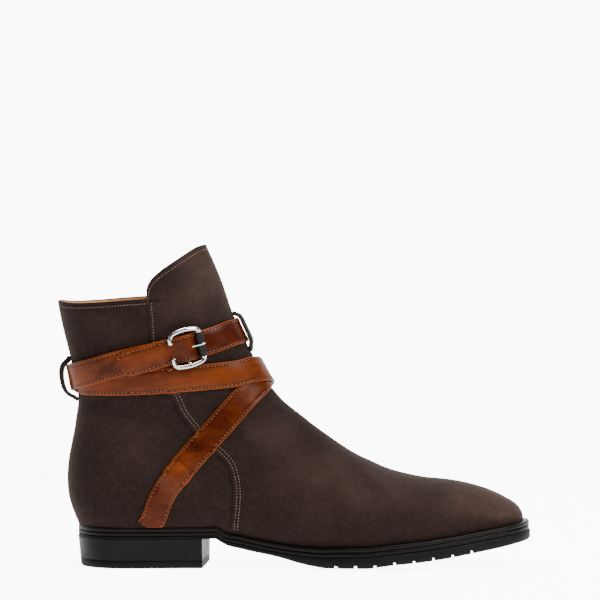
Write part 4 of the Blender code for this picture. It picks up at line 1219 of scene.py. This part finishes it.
def build_sole(leather_edge, rubber, stack, lift, sock):
    turns = even_turns(SOLE_TURNS)
    out = ledge(turns)
    soft = EDGE_SOFT
    outer, inner = outline(turns, out), outline(turns, -WELT_BAND)

    def ring(flat, layer, lift_by=0.0):
        return raised(flat, edge_height(flat[:, 0], layer) + lift_by)

    pulled = outline(turns, out - soft)
    rings = [ring(pulled, 2, GAP), ring(outer, 2, GAP + soft), ring(outer, 3, -soft), ring(pulled, 3)]
    rings += [ring(inner, 3), ring(inner, 2, GAP)]
    lofted("welt_ring", rings, leather_edge, ("welt",), ends="joined")
    filler = outline(turns, -(WELT_BAND + GAP))
    rings = [ring(inward(pulled, 0.5), 1, GAP), ring(pulled, 1, GAP), ring(outer, 1, GAP + soft)]
    rings += [ring(outer, 2, -soft), ring(pulled, 2)]
    rings += [ring(filler, 2), ring(filler, 3), ring(inward(filler, 0.5), 3)]
    lofted("midsole_layer", rings, leather_edge, ("midsole",))
    proud = OUTSOLE_PROUD * smooth(outline(turns, 0)[:, 0] / SOLE_LENGTH, 0.4, 0.6)
    edge = outline(turns, out + proud)
    tucked = outline(turns, out + proud - OUTSOLE_TUCK)
    rings = []
    for share in (0.3, 0.62, 0.82, 0.97):
        flat = inward(edge, share)
        rings.append(raised(flat, underside(flat[:, 0], share)))
    rings.append(raised(tucked, underside(tucked[:, 0], 0.99)))
    lip = OUTSOLE_TUCK * smooth(edge[:, 0] / SOLE_LENGTH, 0.3, 0.5)
    rings.append(raised(edge, underside(edge[:, 0], 1.0) + lip))
    rings.append(raised(edge, edge_height(edge[:, 0], 1) - OUTSOLE_SOFT))
    rings.append(raised(outline(turns, out + proud - OUTSOLE_SOFT), edge_height(edge[:, 0], 1)))
    flat = inward(edge, 0.5)
    rings.append(raised(flat, edge_height(flat[:, 0], 1)))
    outsole = lofted("outsole_rubber", rings, rubber, ("outsole",))
    cut_grooves(outsole)
    rings = [heel_shape(z) for z in np.linspace(HEEL_HEIGHT - GAP, TOP_LIFT + GAP, 5)]
    lofted("heel_stack", rings, stack, ("heel",))
    rings = [heel_shape(TOP_LIFT, LIFT_SOFT), heel_shape(TOP_LIFT - LIFT_SOFT), heel_shape(LIFT_ROUND)]
    rings += [heel_shape(0.45 * LIFT_ROUND, 0.16 * LIFT_ROUND), heel_shape(0, 0.5 * LIFT_ROUND)]
    lofted("top_lift_rubber", rings, lift, ("top_lift",))
    toe = smooth(outline(turns, 0)[:, 0] / SOLE_LENGTH, 0.88, 0.97)
    bed = outline(turns, -(WALL + 1.5 * GAP + TOE_CLEARANCE * toe))
    rings = []
    for share, level in ((0.5, 0), (1, 0), (1, 0.7), (0.985, 1), (0.5, 1)):
        flat = inward(bed, share)
        rings.append(raised(flat, edge_height(flat[:, 0], 3) + GAP + level * INSOLE_THICKNESS))
    lofted("insole_sock", rings, sock, ("insole",))


def heel_shape(height, inset=0.0):
    """The heel from above at a height: round the back and closed by the straight breast."""
    top = HEEL_HEIGHT - GAP
    grow = -HEEL_TAPER * (top - height) / top - inset
    ends = []
    for slant in (0, BREAST_SLANT):
        part = (HEEL_LENGTH + slant - FEATHER_BACK) / (FEATHER_TOE - FEATHER_BACK)
        ends.append(math.acos(1 - 2 * part))
    turns = np.linspace(ends[0], -ends[1], HEEL_POINTS)
    return raised(outline(turns, grow + ledge(np.abs(turns))), height)


def cut_grooves(outsole):
    for n in range(GROOVES):
        x = FIRST_GROOVE * SOLE_LENGTH + n * GROOVE_PITCH
        depth = GROOVE_DEPTH * (1.0 if n % 2 else 0.8)
        level = float(underside(np.array(x), 1.0))
        cutter = bmesh.new()
        bmesh.ops.create_cube(cutter, size=1)
        mesh = bpy.data.meshes.new(f"groove_{n}")
        cutter.to_mesh(mesh)
        cutter.free()
        tool = bpy.data.objects.new(f"groove_{n}", mesh)
        tool.scale = (GROOVE_WIDTH, 1.4 * BALL_WIDTH, 10 * MM)
        tool.location = (x - HEEL_LENGTH / 2, 0, level + depth - 5 * MM)
        bpy.context.scene.collection.objects.link(tool)
        cut = outsole.modifiers.new(tool.name, "BOOLEAN")
        cut.operation = "DIFFERENCE"
        cut.solver = "EXACT"
        cut.object = tool
    bpy.context.view_layer.update()
    shape = outsole.evaluated_get(bpy.context.evaluated_depsgraph_get())
    done = bpy.data.meshes.new_from_object(shape)
    outsole.modifiers.clear()
    outsole.data = done
    for n in range(GROOVES):
        bpy.data.objects.remove(bpy.data.objects[f"groove_{n}"])


# Straps

# Cross-section of a strap: share of its half width, share of its half thickness
STRAP_PROFILE = (
    (-0.96, -1.0), (-0.5, -1.0), (0.0, -1.0), (0.5, -1.0), (0.96, -1.0), (1.0, -0.45), (1.0, 0.3),
    (0.965, 0.82), (0.9, 1.0), (0.83, 1.02), (0.795, 0.9), (0.76, 1.02), (0.4, 1.06), (0.0, 1.08),
    (-0.4, 1.06), (-0.76, 1.02), (-0.795, 0.9), (-0.83, 1.02), (-0.9, 1.0), (-0.965, 0.82), (-1.0, 0.3),
    (-1.0, -0.45),
)
STRAP_STEP = 1.6 * MM


def resampled(line, step=STRAP_STEP):
    """A strap's line with its bends rounded and points evenly spaced."""
    line = np.array(line, float)
    length = lengths(line[:, :2])
    at = np.linspace(0, length[-1], int(length[-1] / step) + 2)
    dense = np.stack([np.interp(at, length, line[:, k]) for k in range(line.shape[1])], axis=1)
    for _ in range(3):
        dense[1:-1] = 0.25 * dense[:-2] + 0.5 * dense[1:-1] + 0.25 * dense[2:]
    return dense


def build_strap(name, place, line, finish, nodes, profile=STRAP_PROFILE):
    """line: (run, height, thickness, half width)."""
    ahead = unit(np.gradient(line[:, :2], axis=0))
    normal = np.stack([-ahead[:, 1], ahead[:, 0]], axis=-1)
    shape = np.array(profile)
    shift = normal[:, None, :] * (line[:, 2:3] / 2 * shape[None, :, 1])[..., None]
    at = line[:, None, :2] + shift
    across = shape[None, :, 0] * line[:, 3:4]
    points = place(at[..., 0], across, at[..., 1])
    edge = np.broadcast_to(np.abs(shape[None, :, 0]), across.shape)
    return lofted(name, points, finish, nodes, layers={"edge": edge})


STRAP_FREE = 1 * MM  # from the tab's step to the end of the strap under it
BUCKLE_DOWN = 7.6 * MM  # behind the bar, where the buckle's strap lies on the upper again
CHAPE_START = 5 * MM  # behind the bar, where the strap begins to thin towards its eye
CHAPE_NECK = (-3.2 * MM, 1.25 * MM)  # ahead of the bar, height
CHAPE_END = (-3.6 * MM, 3.7 * MM)
NECK_THICKNESS, END_THICKNESS = 1.4 * MM, 0.8 * MM
HUMP_START = 9.5 * MM  # from the bar to the tip strap's last station before the hump
HUMP_END = 9.2 * MM  # and to its first one after it
HUMP_FOOT = (7.2 * MM, 2.1)  # distance from the bar and layer where the hump comes down
PARTING = STRAPS_PART + 0.006  # share of SOLE_LENGTH, where the tip's strap has reached its last layer
TAPER_POWER = 0.86  # of the tip's point
TIP_BLUNT = 0.5 * MM  # half the width left at its very end


def full_width(line, half):
    return [(run, height, thickness, half) for run, height, thickness in line]


def buckle_strap_line(route, buckle):
    changes = (
        (run_near(route, 1, LAYER_UP[0] * SOLE_LENGTH), 1),
        (run_near(route, 1, LAYER_UP[1] * SOLE_LENGTH), 2),
        (run_near(route, 2, STRAPS_PART * SOLE_LENGTH), 2),
        (buckle - BUCKLE_DOWN, 1),
    )
    line = strap_line(route, TAB_LENGTH - TAB_OVERLAP + STRAP_FREE, buckle - CHAPE_START, changes)
    line += tail(buckle, (CHAPE_NECK,), NECK_THICKNESS)
    for degrees in range(-90, 151, 20):
        angle = math.radians(degrees)
        line.append((buckle + EYE * math.cos(angle), BAR_HEIGHT + EYE * math.sin(angle), CHAPE_THICKNESS))
    line += tail(buckle, (CHAPE_END,), END_THICKNESS)
    return full_width(line, STRAP_WIDTH / 2)


def tip_strap_line(route, buckle):
    changes = (
        (run_near(route, 0, CROSS_UP[0] * SOLE_LENGTH), 1),
        (run_near(route, 0, CROSS_UP[1] * SOLE_LENGTH), 2),
        (run_near(route, 1, CROSS_DOWN[0] * SOLE_LENGTH), 2),
        (run_near(route, 1, CROSS_DOWN[1] * SOLE_LENGTH), 1),
    )
    line = strap_line(route, TAB_LENGTH - TAB_OVERLAP + STRAP_FREE, buckle - HUMP_START, changes)
    line += tail(buckle, [(-run * MM, height * MM) for run, height in HUMP])
    corner = run_near(route, 3, TIP_CORNER * SOLE_LENGTH)
    changes = (
        (buckle + HUMP_FOOT[0], HUMP_FOOT[1]),
        (run_near(route, 3, PARTING * SOLE_LENGTH), TIP_LAYER),
    )
    line += strap_line(route, buckle + HUMP_END, corner, changes, spacing=5 * MM)
    line = full_width(line, STRAP_WIDTH / 2)
    for share in np.linspace(0.06, 1, 14):
        half = STRAP_WIDTH / 2 * (1 - share) ** TAPER_POWER + TIP_BLUNT
        line.append((corner + TIP_LENGTH * share, layer_height(TIP_LAYER), STRAP_THICKNESS, half))
    return line


TAB_FOOT = ((0.1560, 0.1235),)  # the tab's lower end, tucked down to the welt


def above_welt(route):
    """The route's places, with none lower than the welt's top."""

    def place(run, across, out):
        points = route.place(run, across, out)
        floor = edge_height(points[..., 0], 3) + GAP
        points[..., 2] = np.maximum(points[..., 2], floor)
        return points

    return place


def tab_line(longer):
    """The tab's line on a route that starts this much lower than its strap's."""
    rise = TAB_LENGTH - TAB_OVERLAP
    before, past = TAB_RISE
    runs = (-longer, 9 * MM, 18 * MM, rise - 5 * MM, rise - before, rise + past, TAB_LENGTH)
    layers = (1, 1, 1, 1, 2, 2, 2)
    line = [(longer + run, layer_height(layer), STRAP_THICKNESS) for run, layer in zip(runs, layers)]
    return full_width(line, TAB_WIDTH / 2)


TAB_RISE = (1 * MM, 5 * MM)  # before and past the strap's end, where the tab rises over it
TAB_BARE = 3 * MM  # of the tab's lower end, without stitches
BUCKLE_BARE = 8 * MM  # of the strap behind the bar, without stitches


def build_straps(cognac, suede_loop, tan_thread):
    buckle_line, buckle_at = buckle_route()
    tip_line, tip_at = tip_route()
    long_buckle = resampled(buckle_strap_line(buckle_line, buckle_at))
    long_tip = resampled(tip_strap_line(tip_line, tip_at))
    build_strap("strap_to_buckle", buckle_line.place, long_buckle, cognac, ("strap_buckle",))
    build_strap("strap_to_tip", tip_line.place, long_tip, cognac, ("strap_tip",))
    rows = stitched(buckle_line, long_buckle[long_buckle[:, 0] < buckle_at - BUCKLE_BARE])
    rows += stitched(tip_line, long_tip)
    for name, mirrored in (("tab_lateral", False), ("tab_medial", True)):
        low = Route(leg_rows(0, TAB_FOOT + DIAGONAL), mirrored)
        line = resampled(tab_line(run_near(low, 0, DIAGONAL[0][0] * SOLE_LENGTH)))
        build_strap(name + "_leather", above_welt(low), line, cognac, (name,))
        rows += stitched(low, line[line[:, 0] > TAB_BARE])
    stitch_mesh("strap_stitches", rows, tan_thread)
    back_run = float(np.interp(2 * math.pi, buckle_line.turn, buckle_line.run))
    front_run = float(np.interp(3 * math.pi, tip_line.turn, tip_line.run))
    build_loop("loop_back", buckle_line, back_run, BACK_LOOP, BACK_LOOP_WIDTH, suede_loop)
    build_loop("loop_front", tip_line, front_run, FRONT_LOOP, FRONT_LOOP_WIDTH, suede_loop)
    return buckle_line, buckle_at


EDGE_ROW = 1.8 * MM
STRAP_PITCH = 2.5 * MM


def stitched(route, line):
    """Both edge rows of a strap as two entries, one for each side, placed together."""
    line = np.asarray(line)
    length = lengths(line[:, :2])
    at = np.arange(STRAP_PITCH, length[-1] - STRAP_PITCH, STRAP_PITCH)
    run, height, thickness, half = (np.interp(at, length, line[:, k]) for k in range(4))
    keep = half > 0.7 * half.max()
    rows = []
    for side in (-1, 1):
        across = side * (half - EDGE_ROW)[keep]
        out = (height + thickness / 2)[keep]
        rows.append((route.place, run[keep], across, out, STRAP_PITCH * 0.74, STITCH))
    return rows


LOOP_FULL = 1.12  # the folded suede looks this much thicker

LOOP_PROFILE = (
    (-0.94, -1.0), (0.0, -1.0), (0.94, -1.0), (1.0, -0.5), (1.0, 0.5), (0.92, 0.95), (0.0, 1.04),
    (-0.92, 0.95), (-1.0, 0.5), (-1.0, -0.5),
)


def build_loop(name, route, run, shape, width, finish):
    def place(across, along, out):
        return route.place(run + along, across, out)

    feet = [(shape[0][0] + 0.7, 0.2), *shape, (shape[-1][0] - 0.7, 0.2)]
    line = resampled([(a * MM, h * MM, LOOP_FULL * LOOP_THICKNESS, width / 2) for a, h in feet], 0.8 * MM)
    made = build_strap(name + "_suede", place, line, finish, (name,), LOOP_PROFILE)
    nap_and_painted_highlight = made.data.attributes.new("nap_and_painted_highlight", "FLOAT", "POINT")
    nap_and_painted_highlight.data.foreach_set("value", np.full(len(made.data.vertices), 0.15, "f"))


# Buckle


def tube(name, points, radii, finish, nodes, sides):
    points, radii = np.asarray(points), np.broadcast_to(radii, len(points))
    ahead = unit(np.gradient(points, axis=0))
    first = unit(np.cross(ahead[0], np.array([0.2, 0.3, 0.93])))
    rings = []
    angles = np.arange(sides) * 2 * math.pi / sides
    for point, direction, radius in zip(points, ahead, radii):
        first = unit(first - direction * (first @ direction))
        second = np.cross(direction, first)
        rings.append(point + radius * (np.outer(np.cos(angles), first) + np.outer(np.sin(angles), second)))
    return lofted(name, rings, finish, nodes)


def fine_line(points, step):
    """Points evenly spaced on a smooth curve through the points given."""
    points = np.array(points, float)
    length = lengths(points[:, :2])
    rows = {"length": length, **{str(k): points[:, k] for k in range(points.shape[1])}}
    at = np.linspace(0, length[-1], int(length[-1] / step) + 2)
    return np.stack([curve(rows, str(k), at) for k in range(points.shape[1])], axis=1)


WIRE_STEP = 0.55 * MM
WIRE_END, WIRE_NECK = 0.55, 0.9  # shares of the wire's radius at its stubs' last two points
BAR_END_RISE = 0.8 * MM  # the bar's ends curve up to the wire
SLEEVE_INSET = 0.6 * MM
PRONG_STRAIGHT, PRONG_PAST = 0.6 * MM, 1.6 * MM  # ahead of the bar, past the roller's middle


def build_buckle(route, buckle, bright, black):
    def place(ahead, across, out):
        return route.place(buckle + np.asarray(ahead), across, out)

    line = fine_line(frame_line(), WIRE_STEP)
    points = place(line[:, 0], line[:, 1], frame_height(line[:, 0]))
    radii = WIRE / 2 * line[:, 2]
    radii[0] = radii[-1] = WIRE_END * WIRE / 2
    radii[1] = radii[-2] = WIRE_NECK * WIRE / 2
    tube("buckle_wire", points, radii, bright, ("buckle_frame",), 22)
    across = np.linspace(-1, 1, 12) * (FRAME_ACROSS - WIRE) / 2
    rise = BAR_END_RISE * smooth(np.abs(across) / across.max(), 0.8, 1.0)
    points = place(0 * across, across, BAR_HEIGHT + rise)
    tube("buckle_bar", points, BAR_DIAMETER / 2, bright, ("buckle_frame",), 16)
    half = (FRAME_ACROSS - WIRE) / 2 - FRAME_CORNER - SLEEVE_INSET
    ends = [place(PIN_ALONG, side * half, ROLLER_HEIGHT) for side in (-1, 1)]
    points = [ends[0] + (ends[1] - ends[0]) * share for share in np.linspace(0, 1, 8)]
    radii = ROLLER_DIAMETER / 2 * np.array([0.9, 1, 1, 1, 1, 1, 1, 0.9])
    tube("buckle_sleeve", points, radii, black, ("buckle_roller",), 28)
    curl = []
    for degrees in (215, 190, 165, 140, 110):
        angle = math.radians(degrees)
        curl.append((CURL * math.cos(angle), BAR_HEIGHT + CURL * math.sin(angle)))
    straight = (PRONG_STRAIGHT, PIN_ALONG, PIN_ALONG + PRONG_PAST)
    curl += [(ahead, prong_height(ahead)) for ahead in straight]
    curl = fine_line(curl, 0.5 * MM)
    taper = np.interp(np.arange(len(curl)), (0, len(curl) - 5, len(curl) - 1), (1, 0.95, 0.4))
    points = place(curl[:, 0], 0 * curl[:, 0], curl[:, 1])
    tube("buckle_tongue", points, PRONG_DIAMETER / 2 * taper, bright, ("buckle_prong",), 16)


# Stage

FLOOR_GLOW = 1.7  # what the paper gives to the boot
FLOOR_SEEN = 9.0  # how bright the camera sees it
WORLD_GLOW = 0.16
# The paper in metres: half its width, how far it comes forward, where it bends up behind the boot, the bend's
# radius, its top, and how far it lies under the sole
PAPER_WIDTH, PAPER_FRONT, PAPER_BACK, PAPER_BEND, PAPER_TOP, PAPER_DROP = 8.0, -3.4, 0.7, 2.2, 6.0, 0.0004

# Name, place, what it is aimed at, size and watts
LIGHTS = (
    ("key", (1.9, -1.5, 1.9), (0.12, 0, 0.1), (0.8, 0.8), 95),
    ("top", (0.35, -0.1, 2.4), (0.1, 0, 0.05), (1.4, 0.8), 58),
    ("fill", (-1.8, -2.0, 1.0), (0.05, 0, 0.1), (0.9, 1.4), 5),
)


def build_stage():
    floor = bpy.data.meshes.new("floor")
    points = []
    deep, radius = PAPER_BACK, PAPER_BEND
    profile = [(PAPER_FRONT, 0.0), (deep, 0.0)]
    for degrees in range(0, 91, 9):
        angle = math.radians(degrees)
        profile.append((deep + radius * math.sin(angle), radius - radius * math.cos(angle)))
    profile.append((deep + radius, PAPER_TOP))
    for x in (-PAPER_WIDTH, PAPER_WIDTH):
        points += [(x, y, z - PAPER_DROP) for y, z in profile]
    count = len(profile)
    faces = [(k, k + 1, count + k + 1, count + k) for k in range(count - 1)]
    floor.from_pydata(points, [], faces)
    floor.shade_smooth()
    made = bpy.data.objects.new("floor", floor)
    bpy.context.scene.collection.objects.link(made)
    nodes = Nodes("floor_paper")
    glow = {"Emission_Color": (1, 1, 1, 1), "Specular_IOR_Level": 0.1}
    floor.materials.append(nodes.finish((0.9, 0.9, 0.9), 0.9, **glow))
    seen = nodes.tree.nodes.new("ShaderNodeLightPath")
    strength = nodes.tree.nodes.new("ShaderNodeMapRange")
    strength.inputs["To Min"].default_value = FLOOR_GLOW
    strength.inputs["To Max"].default_value = FLOOR_SEEN
    nodes.link(seen.outputs["Is Camera Ray"], strength.inputs["Value"])
    nodes.link(strength.outputs["Result"], nodes.shader.inputs["Emission Strength"])
    world = bpy.data.worlds.new("studio")
    bpy.context.scene.world = world
    world.use_nodes = True
    world.node_tree.nodes["Background"].inputs[0].default_value = (1, 1, 1, 1)
    world.node_tree.nodes["Background"].inputs[1].default_value = WORLD_GLOW


def area_light(name, place, target, size, power):
    data = bpy.data.lights.new(name, "AREA")
    data.shape = "RECTANGLE"
    data.size, data.size_y = size
    data.energy = power
    made = bpy.data.objects.new(name, data)
    made.location = place
    aim(made, target)
    bpy.context.scene.collection.objects.link(made)


def aim(made, target):
    made.rotation_euler = (Vector(target) - Vector(made.location)).to_track_quat("-Z", "Y").to_euler()


CAMERA_AWAY = 2.765
CAMERA_HEIGHT = 0.276
CAMERA_LEVEL = 0.178
CAMERA_ALONG = 0.107
CAMERA_LENS = 247
CAMERA_SENSOR = 36


def build_camera():
    data = bpy.data.cameras.new("camera")
    data.lens = CAMERA_LENS
    data.sensor_width = CAMERA_SENSOR
    data.clip_end = 30
    made = bpy.data.objects.new("camera", data)
    made.location = (CAMERA_ALONG, -CAMERA_AWAY, CAMERA_HEIGHT)
    aim(made, (CAMERA_ALONG, 0, CAMERA_LEVEL))
    bpy.context.scene.collection.objects.link(made)
    bpy.context.scene.camera = made


def main():
    brown = suede("suede_nap", (0.0046, 0.0018, 0.0012), (0.0086, 0.0038, 0.0027), (0.036, 0.0195, 0.0150))
    loop_brown = suede("loop_nap", (0.010, 0.0065, 0.005), (0.018, 0.0125, 0.010), (0.05, 0.038, 0.031))
    tan = leather("lining_calf", (0.4, 0.19, 0.08), (0.6, 0.31, 0.14), (0.72, 0.42, 0.2), 0.5)
    cognac = (0.013, 0.0013, 0.0001), (0.056, 0.0074, 0.0006), (0.19, 0.040, 0.0044)
    cognac = leather("strap_calf", *cognac, gloss=0.32, edge=0.8)
    edge = sole_edge("sole_edge_wax", (0.0012, 0.0008, 0.0006), (0.0036, 0.0025, 0.002), 0.34)
    rubber = sole_edge("rubber_moulded", (0.0014, 0.0013, 0.0011), (0.004, 0.0037, 0.0032), 0.5)
    stack = sole_edge("heel_wax", (0.0011, 0.0009, 0.0007), (0.003, 0.0025, 0.002), 0.34, 0.1)
    bright = metal("polished_metal", (0.5, 0.48, 0.465), 0.06)
    black = leather("sleeve_black", (0.008, 0.008, 0.008), (0.014, 0.014, 0.014), (0.03, 0.03, 0.03), 0.25)
    wing_thread = thread("upper_thread", (0.08, 0.05, 0.036), (0.19, 0.13, 0.1))
    strap_thread = thread("strap_thread", (0.11, 0.03, 0.01), (0.26, 0.1, 0.04))

    build_upper(brown, tan)
    stitch_upper(brown, wing_thread)
    build_sole(edge, rubber, stack, rubber, tan)
    route, buckle = build_straps(cognac, loop_brown, strap_thread)
    build_buckle(route, buckle, bright, black)
    build_stage()
    for light in LIGHTS:
        area_light(*light)
    build_camera()


main()
